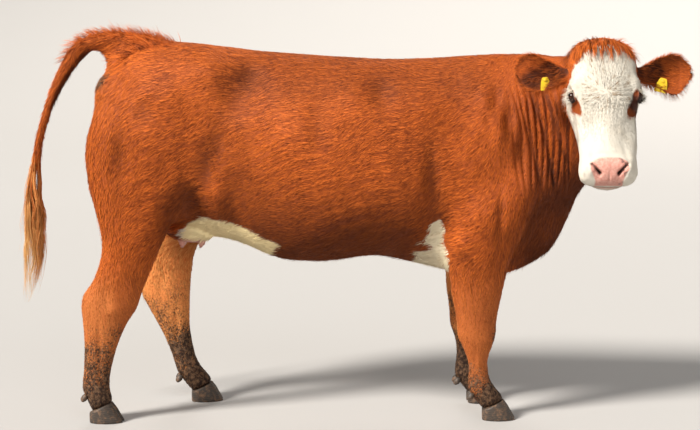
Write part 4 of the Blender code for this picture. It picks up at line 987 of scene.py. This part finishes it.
coat, shader, tree = new_material("coat")
hair_read = node("ShaderNodeAttribute", attribute_name="hair")
hair_split = node("ShaderNodeSeparateColor", {"Color": hair_read.outputs["Color"]})
colour = node("ShaderNodeGroup", node_tree=coat_colour)
feed(colour.inputs["Tone"], hair_split.outputs["Red"])
feed(colour.inputs["Tip"], hair_split.outputs["Green"])
feed(shader.inputs["Base Color"], colour.outputs["Color"])
shader.inputs["Roughness"].default_value = 0.60
shader.inputs["Specular IOR Level"].default_value = 0.12


def clumped(roots, ways, length, cell, share, seed):
    """Leans neighbouring tufts together at their tips: their new ways and lengths, and each one's clump."""
    warp = np.stack([ripple(roots, cell * 3, seed + k) for k in range(3)], axis=1) * cell * 0.4
    cells = np.floor((roots + warp) / cell).astype(np.int64)
    _, own = np.unique(cells, axis=0, return_inverse=True)
    own = own.ravel()
    tips = roots + ways * length[:, None]
    held = np.bincount(own)
    middles = np.stack([np.bincount(own, tips[:, k]) for k in range(3)], axis=1) / held[:, None]
    leant = tips * (1 - share) + middles[own] * share - roots
    new_length = np.linalg.norm(leant, axis=1)
    return leant / new_length[:, None], new_length, own


def streaks(points, ways, width, seed):
    """A chance value for each point, about -1 to 1, that runs in streaks along the hair."""
    total = np.zeros(len(points))
    for k in range(-5, 6):
        cells = np.floor((points + ways * (k * width * 1.3)) / width).astype(np.int64)
        total += (cells @ (73856093, 19349663, 83492791) + seed * 7919) % 1009 / 504.5 - 1
    return total / 3.6


ROOT_SINK = 0.0012  # how far the roots are set into the skin


def coat_piece(
    name, form, sown_tufts, sizes, softness=0.65, droop=0.0, wave=0.0, slot="rust_coat", middles=None
):
    """One joined mesh of tufts: a copy of the form at every root, or along the middles where given."""
    corners, faces = form
    roots, ways, normals, uvs, marks, tones = sown_tufts
    length, width, rise = sizes
    count, each = len(roots), len(corners)
    side = np.cross(ways, normals)
    along = corners[None, :, 1]
    lift = rise[:, None] * along * (1.6 - 0.6 * along) - ROOT_SINK
    swing = np.sin(along * 9.0 + roots[:, :1] * 900.0 + tones[:, None] * 6.0)
    swing = swing - np.sin(roots[:, :1] * 900.0 + tones[:, None] * 6.0)
    across = corners[None, :, 0] * width[:, None] + swing * along * wave
    thick = corners[None, :, 2] * width[:, None] * 0.35
    if middles is None:
        middles = roots[:, None, :] + ways[:, None, :] * (along * length[:, None])[:, :, None]
    shape = middles + side[:, None, :] * across[:, :, None]
    shape = shape + normals[:, None, :] * (lift + thick)[:, :, None]
    shape[:, :, 2] -= droop * along**2 * (length / length.mean())[:, None]
    mesh = bpy.data.meshes.new(name)
    mesh.vertices.add(count * each)
    mesh.vertices.foreach_set("co", shape.astype(np.float32).ravel())
    all_faces = (faces[None] + (np.arange(count) * each)[:, None, None]).reshape(-1, 3).astype(np.int32)
    mesh.loops.add(len(all_faces) * 3)
    mesh.loops.foreach_set("vertex_index", all_faces.ravel())
    mesh.polygons.add(len(all_faces))
    mesh.polygons.foreach_set("loop_start", np.arange(len(all_faces), dtype=np.int32) * 3)
    mesh.update(calc_edges=True)
    mesh.polygons.foreach_set("use_smooth", np.ones(len(all_faces), bool))
    give_marks(mesh, np.repeat(marks, each, axis=0))
    hair = np.ones((count, each, 4), np.float32)
    hair[:, :, 0] = tones[:, None]
    # How far along its tuft each corner lies, for the painted shade at the root and the painted light at the
    # tip.
    hair[:, :, 1] = along
    layer = mesh.color_attributes.new(name="hair", type="FLOAT_COLOR", domain="POINT")
    layer.data.foreach_set("color", hair.ravel())
    patch = np.stack((corners[:, 0], along[0] * 2 - 1), axis=1) * UV_PATCH / 2
    flat = (uvs[:, None, :] + patch[None]).reshape(-1, 2)
    flat = flat[all_faces.ravel()].astype(np.float32)
    mesh.uv_layers.new(name="OFBake").uv.foreach_set("vector", flat.ravel())
    own = vertex_normals(mesh).reshape(count, each, 3)
    eased = unit(own * (1 - softness) + normals[:, None, :] * softness)
    mesh.normals_split_custom_set_from_vertices(eased.reshape(-1, 3).astype(np.float32))
    mesh.materials.append(coat)
    piece = bpy.data.objects.new(name, mesh)
    bpy.context.scene.collection.objects.link(piece)
    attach(piece, "root")
    return piece


def tufts(count, thickness, seed, size, jitter, clump=None):
    """Sows tufts and gives what coat_piece needs. size gives their mean length, width and rise."""
    roots, normals, uvs, draw = sown(count, thickness, seed)
    ways = lie(roots, normals)
    ways = unit(ways + np.cross(normals, ways) * draw.normal(0, jitter, count)[:, None])
    length, width, rise = (np.asarray(each, float) * draw.uniform(0.75, 1.25, count) for each in size(roots))
    flow = 0.8 * streaks(roots, ways, 0.0036, seed) + 0.8 * streaks(roots, ways, 0.009, seed + 1)
    tones = 0.5 + draw.normal(0, 0.17, count) + 0.42 * flow
    rise = rise * np.clip(1 + 0.6 * flow, 0.3, 2.0)
    if clump:
        ways, length, own = clumped(roots, ways, length, clump[0], clump[1], seed)
        tones += draw.normal(0, clump[2], own.max() + 1)[own]
    marks = marks_at(roots, normals)
    marks[:, 3] = 0
    return [roots, ways, normals, uvs, marks, np.clip(tones, 0, 1)], [length, width, rise]


def only(sown_tufts, sizes, chosen):
    """The chosen tufts and their sizes."""
    return [each[chosen] for each in sown_tufts], [each[chosen] for each in sizes]


centre_normals = unit(face_ways)
centre_body, centre_head = on_body(centres), on_head(centres)
hairy = 1 - marks_at(centres, centre_normals)[:, 3]
ear_part = on_ears(centre_head)
head_part = ((centre_head[:, 0] > -0.055) & (from_middle(centre_head) < 0.20)) | ear_part

# The short coat of the body and legs, in six joined pieces: left and right of the hindquarters,
# the barrel and the forequarters with the neck. It is longest on the barrel, and short on the legs.
BODY_TUFTS = 275000


def body_tuft_size(roots):
    body, head = on_body(roots), on_head(roots)
    leggy = fade(body[:, 2], 0.60, 0.42)
    necky = fade(body[:, 0], 0.50, 0.62) * fade(body[:, 2], 0.75, 0.90)
    length = 0.022 - 0.010 * leggy - 0.006 * necky
    return length, 0.0017 - 0.0005 * leggy - 0.0003 * necky, 0.0042 - 0.0018 * leggy - 0.0010 * necky


thickness = ~head_part * hairy * (1 + 0.5 * fade(centre_body[:, 2], 0.55, 0.40))
body_tufts, body_sizes = tufts(BODY_TUFTS, thickness, 41, body_tuft_size, 0.13, (0.012, 0.35, 0.07))
BODY_PARTS = {"hindquarters": (-9, -0.56), "barrel": (-0.56, 0.15), "forequarters": (0.15, 9)}
body = on_body(body_tufts[0])
for part, (rear, front) in BODY_PARTS.items():
    for side, on_side in (("left", body[:, 1] > 0), ("right", body[:, 1] <= 0)):
        chosen = (body[:, 0] >= rear) & (body[:, 0] < front) & on_side
        coat_piece(f"coat_{part}_{side}", SHORT_TUFT, *only(body_tufts, body_sizes, chosen))

# The face's hair is the shortest of all, and shorter still towards the nose and the lids. It
# lies away from the whorl, round which its tufts are painted darker as shade in the parting.
FACE_TUFTS = 64000


def face_tuft_size(roots):
    head = on_head(roots)
    near = fade(head[:, 0], 0.25, 0.42)
    by_eye = 1 - 0.6 * fade(from_eyes(roots), 0.045, 0.026)
    return (0.012 - 0.005 * near) * by_eye, 0.0011 - 0.0003 * near, (0.0024 - 0.0010 * near) * by_eye


thickness = (head_part & ~ear_part) * hairy * (lid_reach(centre_head) >= 1.35)
face, sizes = tufts(FACE_TUFTS, thickness, 42, face_tuft_size, 0.14, (0.009, 0.25, 0.10))
head = on_head(face[0])
face[5] = 0.5 + (face[5] - 0.5) * (0.30 + 0.45 * fade(head[:, 0], 0.26, 0.16))
# Painted shade round the whorl, where the hair parts.
face[5] -= 0.45 * np.exp(-((np.hypot(head[:, 0] - WHORL, head[:, 1]) / 0.012) ** 2))
coat_piece("coat_face", SHORT_TUFT, face, sizes)

# Longer wavy hair on the forehead, which parts round the whorl between the eyes and clings
# together in small locks.
FOREHEAD_LOCKS = 7000


def forehead_size(roots):
    head = on_head(roots)
    far = fade(head[:, 0], 0.31, 0.18) * fade(np.abs(head[:, 1]), 0.090, 0.060)
    return 0.010 + 0.009 * far, 0.0009 + 0.0005 * far, 0.0016 + 0.0022 * far


thickness = fade(centre_head[:, 0], 0.32, 0.22) * fade(centre_head[:, 0], 0.035, 0.06)
thickness *= fade(np.abs(centre_head[:, 1]), 0.092, 0.070) * (centre_head[:, 2] > -0.05) * head_part
forehead, sizes = tufts(FOREHEAD_LOCKS, thickness, 44, forehead_size, 0.10, (0.012, 0.60, 0.22))
coat_piece("coat_forehead", BENT_TUFT, forehead, sizes, wave=0.0010)

# The poll's long locks, which fall forward in wet-looking strands over the top of the forehead.
# Most are rust, with some white ones among them.
POLL_LOCKS, WHITE_POLL_SHARE = 1700, 0.30


def poll_size(roots):
    top = fade(on_head(roots)[:, 0], 0.045, 0.0)
    return 0.030 + 0.024 * top, 0.0015, 0.007 + 0.009 * top


thickness = fade(centre_head[:, 0], 0.045, 0.020) * fade(centre_head[:, 0], -0.075, -0.05)
thickness *= fade(np.abs(centre_head[:, 1]), 0.105, 0.085) * (centre_head[:, 2] > -0.17)
thickness *= from_middle(centre_head) < 0.20
locks, sizes = tufts(POLL_LOCKS, thickness, 45, poll_size, 0.16)
head = on_head(locks[0])
forward = head * (0.0, 3.5, 0.0) + (0.75, 0.0, 0.50)
ways = forward @ HEAD_AXES + np.random.default_rng(46).normal(0, 0.16, head.shape)
locks[1] = unit(ways - locks[2] * (ways * locks[2]).sum(axis=1)[:, None] * 0.85)
locks[1], sizes[0], own = clumped(locks[0], locks[1], sizes[0], 0.024, 0.72, 47)
draw = np.random.default_rng(51)
sizes[0] *= draw.uniform(0.7, 1.25, own.max() + 1)[own]
locks[5] = np.clip(locks[5] + draw.normal(0, 0.2, own.max() + 1)[own], 0, 1)
locks[4][:, 0] *= draw.uniform(0, 1, POLL_LOCKS) < WHITE_POLL_SHARE
locks[5] = np.where(locks[4][:, 0] > 0.5, np.clip(locks[5], 0.55, 1), locks[5])
coat_piece("coat_poll", LOCK, locks, sizes, droop=0.022, wave=0.0035, softness=0.45)

# The ears have short hair outside, a long fringe round the edge, and loose locks in the hollow
# that lie over its skin, which is painted dark there as shade.
EAR_TUFTS, FRINGE_LOCKS, HOLLOW_LOCKS = 11500, 2600, 900
facing_hollow, _ = ear_sides(centres, centre_normals)
short, sizes = tufts(EAR_TUFTS, ear_part, 43, lambda roots: (0.014, 0.0010, 0.0035), 0.22, (0.012, 0.3, 0.1))
coat_piece("coat_ears", BENT_TUFT, short, sizes)

thickness = ear_part * fade(np.abs(facing_hollow), 0.70, 0.30)
thickness *= fade(np.abs(centre_head[:, 1]), 0.120, 0.160)
fringe, sizes = tufts(FRINGE_LOCKS, thickness, 48, lambda roots: (0.026, 0.0013, 0.001), 0.2)
_, tip = ear_sides(fringe[0], fringe[2])
reach = np.abs(on_head(fringe[0])[:, 1])
longer = np.interp(reach, (0.14, 0.22, 0.27, 0.30), (0.8, 1.3, 1.2, 0.7))
sizes[0] *= longer * (1 - 0.25 * (fringe[2][:, 2] > 0.3))
draw = np.random.default_rng(49)
ways = fringe[2] * 0.85 + tip * 0.55 + (0, 0, -0.35) + draw.normal(0, 0.20, tip.shape)
fringe[1], sizes[0], _ = clumped(fringe[0], unit(ways), sizes[0], 0.014, 0.35, 50)
# The fringe takes only a little of the hollow's painted shade.
fringe[4][:, 2] *= 0.35
fringe[5] = np.clip(fringe[5] + 0.20, 0, 1)
coat_piece("coat_ear_fringe", FEATHER, fringe, sizes, droop=0.006, wave=0.0020, softness=0.3)

thickness = ear_part * fade(facing_hollow, 0.4, 0.8) * fade(np.abs(centre_head[:, 1]), 0.27, 0.20)
hollow, sizes = tufts(
    HOLLOW_LOCKS, thickness, 54, lambda roots: (0.030, 0.0011, 0.010), 0.35, (0.02, 0.4, 0.2)
)
# Each lock in the hollow takes a chance share of the hollow's painted shade.
hollow[4][:, 2] *= np.random.default_rng(55).uniform(0.2, 1.0, HOLLOW_LOCKS)
coat_piece("coat_ear_hollows", FEATHER, hollow, sizes, droop=0.004, wave=0.0020, softness=0.3)

# Longer hair elsewhere: a ruff on the tail head, feathering behind the thighs, elbows and hocks,
# and curls along the edge of the white on the belly.
RUFF_LOCKS = 2000
thickness = fade(centre_body[:, 0], -0.62, -0.76) * fade(centre_body[:, 2], 1.33, 1.38)
thickness = thickness * (np.abs(centre_body[:, 1]) < 0.09) * fade(centre_normals[:, 2], 0.2, 0.6)
ruff, sizes = tufts(RUFF_LOCKS, thickness, 52, lambda roots: (0.036, 0.0018, 0.028), 0.6, (0.028, 0.55, 0.15))
coat_piece("coat_tail_ruff", FEATHER, ruff, sizes, droop=0.003, wave=0.004, softness=0.4)

FEATHER_LOCKS = 5200
tail_part = (centre_body[:, 0] < -0.985) & (centre_body[:, 2] > 0.85)
behind_thigh = fade(centre_normals[:, 0], -0.5, -0.85) * fade(centre_body[:, 2], 0.35, 0.50)
behind_thigh = behind_thigh * (centre_body[:, 0] < -0.5)
under_belly = fade(centre_normals[:, 2], -0.35, -0.75) * (np.abs(centre_body[:, 0] + 0.05) < 0.62)
under_belly = under_belly * (centre_body[:, 2] > 0.5)
curls = stroke(centre_body, (-0.485, -0.24, 0.792), (0.060, 0.05, 0.016)) * 6
brisket = fade(centre_normals[:, 2], -0.1, -0.6) * (centre_body[:, 0] > 0.5) * (centre_body[:, 2] > 0.55)
thickness = (tail_part * 2.2 + behind_thigh * 0.8 + under_belly + curls + brisket) * hairy * ~head_part
feathers, sizes = tufts(
    FEATHER_LOCKS, thickness, 53, lambda roots: (0.034, 0.0015, 0.006), 0.28, (0.022, 0.5, 0.12)
)
coat_piece("coat_long_hair", FEATHER, feathers, sizes, droop=0.004, wave=0.0025, softness=0.5)

# The switch: long wavy blond locks in loose strands, which hang from the end of the tail and
# thin to a point. Its line runs on from the tail's own.
SWITCH_LOCKS, SWITCH_STRANDS = 1050, 36
core = joined_copies(("tail_switch",), 0.0)
switch = np.array([vert.co for vert in core.verts])
core.free()
levels = np.linspace(switch[:, 2].max() + 0.065, switch[:, 2].min() + 0.006, 24)
tail_end = centres[(centre_body[:, 0] < -0.985) & (np.abs(centre_body[:, 2] - levels[0]) < 0.07)]
around = np.concatenate((tail_end, switch))
sideways = [np.polyval(np.polyfit(around[:, 2], around[:, k], 3), levels) for k in (0, 1)]
line = np.stack([*sideways, levels], axis=1)
ring = tail_end[np.abs(tail_end[:, 2] - levels[0]) < 0.01]
tail_radius = np.hypot(*(ring - ring.mean(axis=0))[:, :2].T).mean()
# shares of the way down, and the radius there
SWITCH_GIRTH = (
    (0, 0.14, 0.26, 0.36, 0.55, 0.80, 1.0),
    (tail_radius, tail_radius + 0.003, 0.030, 0.038, 0.041, 0.028, 0.008),
)


def switch_shape(count, along, draw):
    """The middle of each lock at each share of its length, and where along the switch it starts."""
    strand = draw.integers(0, SWITCH_STRANDS, count)
    limits = ((0, 2 * math.pi), (0.02, 1), (0.003, 0.009), (0, 6.3), (0, 0.55))
    shared = (draw.uniform(*pair, SWITCH_STRANDS)[strand][:, None] for pair in limits)
    way_round, far_out, wave, start, top = shared
    far_out = np.sqrt(far_out)
    top = np.clip(top[:, 0] ** 1.4 + draw.normal(0, 0.03, count), 0, 0.6)
    bottom = np.minimum(1.02, top + draw.uniform(0.36, 0.62, count))
    share = top[:, None] + (bottom - top)[:, None] * along[None]
    steps = np.linspace(0, 1, len(levels))
    middles = np.stack([np.interp(share, steps, line[:, k]) for k in range(3)], axis=2)
    opened = 1 - 0.75 * np.exp(-(share - top[:, None]) / 0.09) * fade(top, 0.0, 0.15)[:, None]
    rooted = fade(share, 0.32, 0.14)
    out = np.interp(share, *SWITCH_GIRTH) * (far_out * opened * (1 - rooted) + rooted)
    turn = way_round + 0.5 * np.sin(share * 5 + start)
    loose = draw.normal(0, 0.0050, (count, 2)) * (1 + 0.9 * (draw.uniform(0, 1, count) < 0.12))[:, None]
    swing = wave * np.sin(share * 26 + start) * opened * (1 - rooted)
    middles[:, :, 0] += out * np.cos(turn) + swing * np.cos(turn + 1.2) + loose[:, :1] * (0.25 + along)
    middles[:, :, 1] += out * np.sin(turn) + swing * np.sin(turn + 1.2) + loose[:, 1:] * (0.25 + along)
    return middles, top, np.cos(way_round[:, 0]) * far_out[:, 0]


by_tail_end = (centre_body[:, 0] < -1.05) & (centre_body[:, 2] < 1.00) & (centre_body[:, 2] > 0.7)
locks, sizes = tufts(SWITCH_LOCKS, by_tail_end, 56, lambda roots: (0.3, 0.0017, 0.002), 0.1)
draw = np.random.default_rng(57)
angle = draw.uniform(0, 2 * math.pi, SWITCH_LOCKS)
locks[1] = np.tile((0.0, 0.0, -1.0), (SWITCH_LOCKS, 1))
locks[2] = np.stack((np.cos(angle), np.sin(angle), 0 * angle), axis=1)
LONG_LOCK = tuft_form(11)
middles, top, forward = switch_shape(SWITCH_LOCKS, LONG_LOCK[0][:, 1], np.random.default_rng(58))
blond = np.clip(0.75 + 3.2 * top - 0.60 * forward + draw.normal(0, 0.18, SWITCH_LOCKS), 0.3, 2.0)
locks[4] = blond[:, None] * (0.0, 0.0, 0.0, 0.0, 1.0)
locks[5] = np.clip(draw.normal(0.55, 0.22, SWITCH_LOCKS), 0, 1)
switch_piece = coat_piece(
    "coat_switch", LONG_LOCK, locks, sizes, softness=0.2, slot="switch_hair", middles=middles
)
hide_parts("tail_switch")

# Pale lashes that stand out from the edges of the upper lids, and curve down a little at
# their tips.
LASHES = 110
lid_zone = fade(np.abs(lid_reach(centre_head) - 1.25), 0.25, 0.12) * (centre_head[:, 0] < EYE[0] - 0.006)
lashes, sizes = tufts(LASHES, lid_zone, 59, lambda roots: (0.022, 0.0006, 0.001), 0.1)
head = on_head(lashes[0])
outward = np.sign(head) * (0.0, 1.0, 0.0) + (0.10, 0.0, 0.25)
outward[:, 0] += 0.6 * (head[:, 0] - EYE[0]) / EYE_RADIUS
lashes[1] = unit(outward @ HEAD_AXES + np.random.default_rng(60).normal(0, 0.12, head.shape))
lashes[4] = np.tile((1.0, 0.0, 0.0, 0.0, 0.2), (LASHES, 1))
coat_piece("lashes", FEATHER, lashes, sizes, droop=0.003, softness=0.2)

# ------------------------------------------------------------------------------- the eyes
# Wet dark-brown eyeballs with a bulging clear front, a wide flat pupil and a little white at the
# corners, set under the lids.
eyeball, shader, tree = new_material("eyeball")
here = node("ShaderNodeAttribute", attribute_name="eye_place").outputs["Vector"]


def ellipse(long, high, soft):
    """1 inside an ellipse of these half sizes on the front of the eye, and 0 outside it."""
    flat = node("ShaderNodeVectorMath", {0: here, 1: (1 / long, 1 / high, 0)}, operation="MULTIPLY")
    reach = node("ShaderNodeVectorMath", {0: flat.outputs["Vector"]}, operation="LENGTH")
    return mapped(reach.outputs["Value"], 1 + soft, 1 - soft)


IRIS, IRIS_EDGE, PUPIL = (0.060, 0.020, 0.008, 1), (0.016, 0.007, 0.004, 1), (0.003, 0.003, 0.004, 1)
EYE_WHITE = (0.11, 0.065, 0.050, 1)
fibres = noise(0.05, 4.0)
ball_colour = mixed(ellipse(0.84, 0.84, 0.06), EYE_WHITE, IRIS_EDGE)
ball_colour = mixed(ellipse(0.66, 0.66, 0.20), ball_colour, mixed(fibres, IRIS_EDGE, IRIS))
ball_colour = mixed(ellipse(0.36, 0.21, 0.08), ball_colour, PUPIL)
feed(shader.inputs["Base Color"], ball_colour)
shader.inputs["Roughness"].default_value = 0.05
shader.inputs["Specular IOR Level"].default_value = 0.35
CORNEA_REACH, CORNEA_BULGE = 0.62, 0.0012
for side, name in enumerate(("left", "right")):
    gaze, inward, upward = (axis @ HEAD_AXES for axis in eye_axes(side))
    middle = from_head(EYES[side])
    ball = bmesh.new()
    turn = Vector(gaze).to_track_quat("Z", "Y").to_matrix().to_4x4()
    bmesh.ops.create_uvsphere(ball, u_segments=40, v_segments=28, radius=EYE_RADIUS, matrix=turn)
    way = np.array([vert.co for vert in ball.verts]) / EYE_RADIUS
    local = np.stack((way @ inward, way @ upward, way @ gaze), axis=1)
    off_centre = np.hypot(local[:, 0], local[:, 1])
    bulge = CORNEA_BULGE * fade(off_centre, CORNEA_REACH, CORNEA_REACH * 0.5) * (local[:, 2] > 0)
    for vert, outward, extra in zip(ball.verts, way, bulge):
        vert.co = Vector(middle) + Vector(outward) * (EYE_RADIUS + extra)
    piece = new_piece(f"eyeball_{name}", ball)
    layer = piece.data.attributes.new(name="eye_place", type="FLOAT_VECTOR", domain="POINT")
    layer.data.foreach_set("vector", local.astype(np.float32).ravel())
    piece.data.shade_smooth()
    piece.data.materials.append(eyeball)
    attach(piece, "root")
    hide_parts(f"eye_{name}")

# ------------------------------------------------------------------------------- the hooves
# Each foot stands on two claws of dark horn with growth rings, and has two dewclaws behind.
# They are the solids' own shapes with their edges rounded, caked with dry mud.
horn, shader, tree = new_material("hoof_horn")
here = node("ShaderNodeTexCoord").outputs["Object"]
HORN, HORN_PALE = (0.034, 0.026, 0.021, 1), (0.064, 0.047, 0.035, 1)
waves = {"Vector": here, "Scale": 46.0, "Distortion": 6.0, "Detail": 3.0, "Detail Scale": 1.0}
rings = node("ShaderNodeTexWave", waves, wave_type="BANDS", bands_direction="Z").outputs["Fac"]
grime = noise(0.02, 5.0, 0.65)
horn_colour = mixed(mapped(grime, 0.45, 0.70), mixed(rings, HORN, HORN_PALE), MUD_DRY)
roughness = node("ShaderNodeMapRange", {"Value": grime, "To Min": 0.35, "To Max": 0.80})
relief = sum_of(part_of(rings, 0.45), grime)
bump = node("ShaderNodeBump", {"Height": relief, "Strength": 0.5, "Distance": 0.0010})
feed(shader.inputs["Base Color"], horn_colour)
feed(shader.inputs["Roughness"], roughness.outputs["Result"])
feed(shader.inputs["Normal"], bump.outputs["Normal"])
CLAW_GRAIN, CLAW_EASING = 0.0034, 8
for leg in ("foreleg_left", "foreleg_right", "hindleg_left", "hindleg_right"):
    names = [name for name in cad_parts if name.startswith(leg) and "claw" in name]
    foot = bmesh.new()
    for name in names:
        form = new_piece("form", joined_copies((name,), 0.0))
        merged(form, CLAW_GRAIN, CLAW_EASING)
        foot.from_mesh(form.data)
        bpy.data.objects.remove(form)
    piece = new_piece(f"hooves_{leg}", foot)
    piece.data.shade_smooth()
    piece.data.materials.append(horn)
    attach(piece, "root")
    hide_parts(*names)

# ------------------------------------------------------------------------------- the ear tags
# Bare plates of soft yellow plastic with rounded corners. A stud on the front has a pin through
# the ear, which a round button closes behind it.
tag_plastic, shader, tree = new_material("tag_plastic")
here = node("ShaderNodeTexCoord").outputs["Object"]
YELLOW, SMUDGED_YELLOW = (0.86, 0.58, 0.015, 1), (0.52, 0.33, 0.03, 1)
smudges = mapped(noise(0.012, 5.0, 0.7), 0.40, 0.75)
feed(shader.inputs["Base Color"], mixed(smudges, YELLOW, SMUDGED_YELLOW))
shader.inputs["Roughness"].default_value = 0.42
bump = node("ShaderNodeBump", {"Height": noise(0.004), "Strength": 0.2, "Distance": 0.0005})
feed(shader.inputs["Normal"], bump.outputs["Normal"])
TAG_TOP, TAG_WAIST, TAG_FOOT = (0.0105, 0.026), (0.0175, 0.006), (0.0215, -0.022)  # half widths and heights
TAG_THICKNESS, CORNER_RADIUS, STUD_HEIGHT = 0.0022, 0.0045, 0.016
STUD_RADIUS, PIN_RADIUS, BUTTON_RADII = 0.0065, 0.0026, (0.0100, 0.0115)
EDGE_ROUNDING = 0.0006
FACE_ON = Matrix.Rotation(math.radians(90), 4, "X")
skin_places = vertex_places(skin.data)


def near_ear(middle, reach):
    """How far forward and back the ear's skin goes round a place, seen from the front."""
    away = np.abs(skin_places - middle)
    found = skin_places[(away[:, 0] < reach) & (away[:, 2] < reach) & (away[:, 1] < 0.10), 1]
    return found.min(), found.max()


def rounded(bm, edges, offset, segments):
    """Rounds these edges off."""
    bmesh.ops.bevel(
        bm, geom=edges, offset=offset, segments=segments, affect="EDGES", profile=0.5, material=-1
    )


def turned(bm, radius1, radius2, depth, segments, back, height):
    """A round part on the line of the pin, this far behind the middle of the plate."""
    place = Matrix.Translation((0, back, height)) @ FACE_ON
    return bmesh.ops.create_cone(bm, cap_ends=True, segments=segments, radius1=radius1, radius2=radius2,
                                 depth=depth, matrix=place)["verts"]


# each tag's share of the full width and height, and how far it leans and turns, in degrees
TAG_HANG = {"ear_tag_left": (1.08, 1.05, 14, -6), "ear_tag_right": (0.95, 0.95, -8, 8)}
for name, (wide, high, lean, turn) in TAG_HANG.items():
    tag = bmesh.new()
    other_side = [(-x, z) for x, z in (TAG_FOOT, TAG_WAIST)]
    outline = [(-TAG_TOP[0], TAG_TOP[1]), TAG_TOP, TAG_WAIST, TAG_FOOT, *other_side]
    plate = tag.faces.new([tag.verts.new((x * wide, -TAG_THICKNESS / 2, z * high)) for x, z in outline])
    grown = bmesh.ops.extrude_face_region(tag, geom=[plate])["geom"]
    rear = [each for each in grown if isinstance(each, bmesh.types.BMVert)]
    bmesh.ops.translate(tag, verts=rear, vec=(0, TAG_THICKNESS, 0))
    bmesh.ops.recalc_face_normals(tag, faces=tag.faces[:])
    across = [edge for edge in tag.edges if abs((edge.verts[0].co - edge.verts[1].co).y) > TAG_THICKNESS / 2]
    rounded(tag, across, CORNER_RADIUS, 5)
    rounded(tag, [edge for edge in tag.edges if edge.calc_face_angle(0) > 1.0], EDGE_ROUNDING, 2)
    pin_height = STUD_HEIGHT * high
    stud = turned(tag, STUD_RADIUS, STUD_RADIUS * 0.75, 0.0034, 28, -0.0024, pin_height)
    rims = [edge for vert in stud for edge in vert.link_edges if edge.calc_face_angle(0) > 0.8]
    rounded(tag, list(dict.fromkeys(rims)), EDGE_ROUNDING, 2)
    middle = np.array(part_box(name)).mean(axis=0)
    front, _ = near_ear(middle + (0, 0, 0.008), 0.014)
    _, back = near_ear(middle + (0, 0, 0.010), 0.009)
    pin_length = back - front + 0.004
    turned(tag, PIN_RADIUS, PIN_RADIUS, pin_length, 12, pin_length / 2, pin_height)
    turned(tag, *BUTTON_RADII, 0.0024, 28, pin_length, pin_height)
    hang = Matrix.Translation((middle[0] + 0.002, front - TAG_THICKNESS, middle[2] - 0.004))
    hang = hang @ Matrix.Rotation(math.radians(turn), 4, "Z") @ Matrix.Rotation(math.radians(lean), 4, "Y")
    bmesh.ops.transform(tag, matrix=hang, verts=tag.verts[:])
    piece = new_piece(f"{name}_plate", tag)
    piece.data.shade_smooth()
    piece.data.set_sharp_from_angle(angle=math.radians(40))
    piece.data.materials.append(tag_plastic)
    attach(piece, "root")
    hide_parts(name)

# ------------------------------------------------------------------------------- the studio
# A pale floor that turns up into a backdrop far behind, a broad soft key light, and a camera
# at a standing person's height on the cow's right side.
FLOOR_CURVE = (
    (0.0, 0.0), (9.0, 0.0), (10.5, 0.08), (12.0, 0.45), (13.3, 1.2), (14.2, 2.3), (14.7, 3.7), (14.9, 6.0),
)
floor = bmesh.new()
ends = [floor.verts.new((reach, 0, height)) for reach, height in FLOOR_CURVE]
curve = ends + [floor.edges.new(pair) for pair in zip(ends, ends[1:])]
bmesh.ops.spin(floor, geom=curve, cent=(0, 0, 0), axis=(0, 0, 1), angle=2 * math.pi, steps=72, use_merge=True)
bmesh.ops.remove_doubles(floor, verts=floor.verts[:], dist=1e-4)
bmesh.ops.recalc_face_normals(floor, faces=floor.faces[:])
floor = new_piece("floor", floor)
floor.data.shade_smooth()
floor_paint, shader, tree = new_material("pale_floor")
shader.inputs["Base Color"].default_value = (0.46, 0.45, 0.44, 1)
shader.inputs["Roughness"].default_value = 0.9
floor.data.materials.append(floor_paint)
floor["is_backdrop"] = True


def sun(name, height, bearing, strength, softness, colour):
    """A far soft lamp, at an angle above the horizon and a bearing to the left of the camera's side."""
    light = bpy.data.lights.new(name, "SUN")
    light.energy, light.angle, light.color = strength, math.radians(softness), colour
    made = bpy.data.objects.new(name, light)
    made.rotation_euler = (math.radians(90 - height), 0, math.radians(-bearing))
    bpy.context.scene.collection.objects.link(made)


sun("key", 38, 56, 6.3, 14, (1.0, 0.95, 0.88))
sun("fill", 35, -20, 0.5, 40, (0.93, 0.96, 1.0))
sun("back", 50, 170, 0.5, 20, (1.0, 0.98, 0.95))
world = bpy.data.worlds.new("studio")
world.use_nodes = True
sky = world.node_tree.nodes["Background"]
sky.inputs["Color"].default_value = (1.0, 0.97, 0.92, 1)
sky.inputs["Strength"].default_value = 0.25
bpy.context.scene.world = world
bpy.context.scene.view_settings.view_transform = "Standard"

camera = bpy.data.objects.new("camera", bpy.data.cameras.new("camera"))
left_low, left_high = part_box("eye_left")
camera.location = (left_low + left_high) / 2 + Vector((-0.987, -5.342, 0.2606))
camera.rotation_euler = (math.radians(90 - 7.134), 0, 0)
camera.data.lens, camera.data.sensor_width = 79.71, 36.0
camera.data.clip_end = 100
bpy.context.scene.collection.objects.link(camera)
bpy.context.scene.camera = camera

low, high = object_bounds()
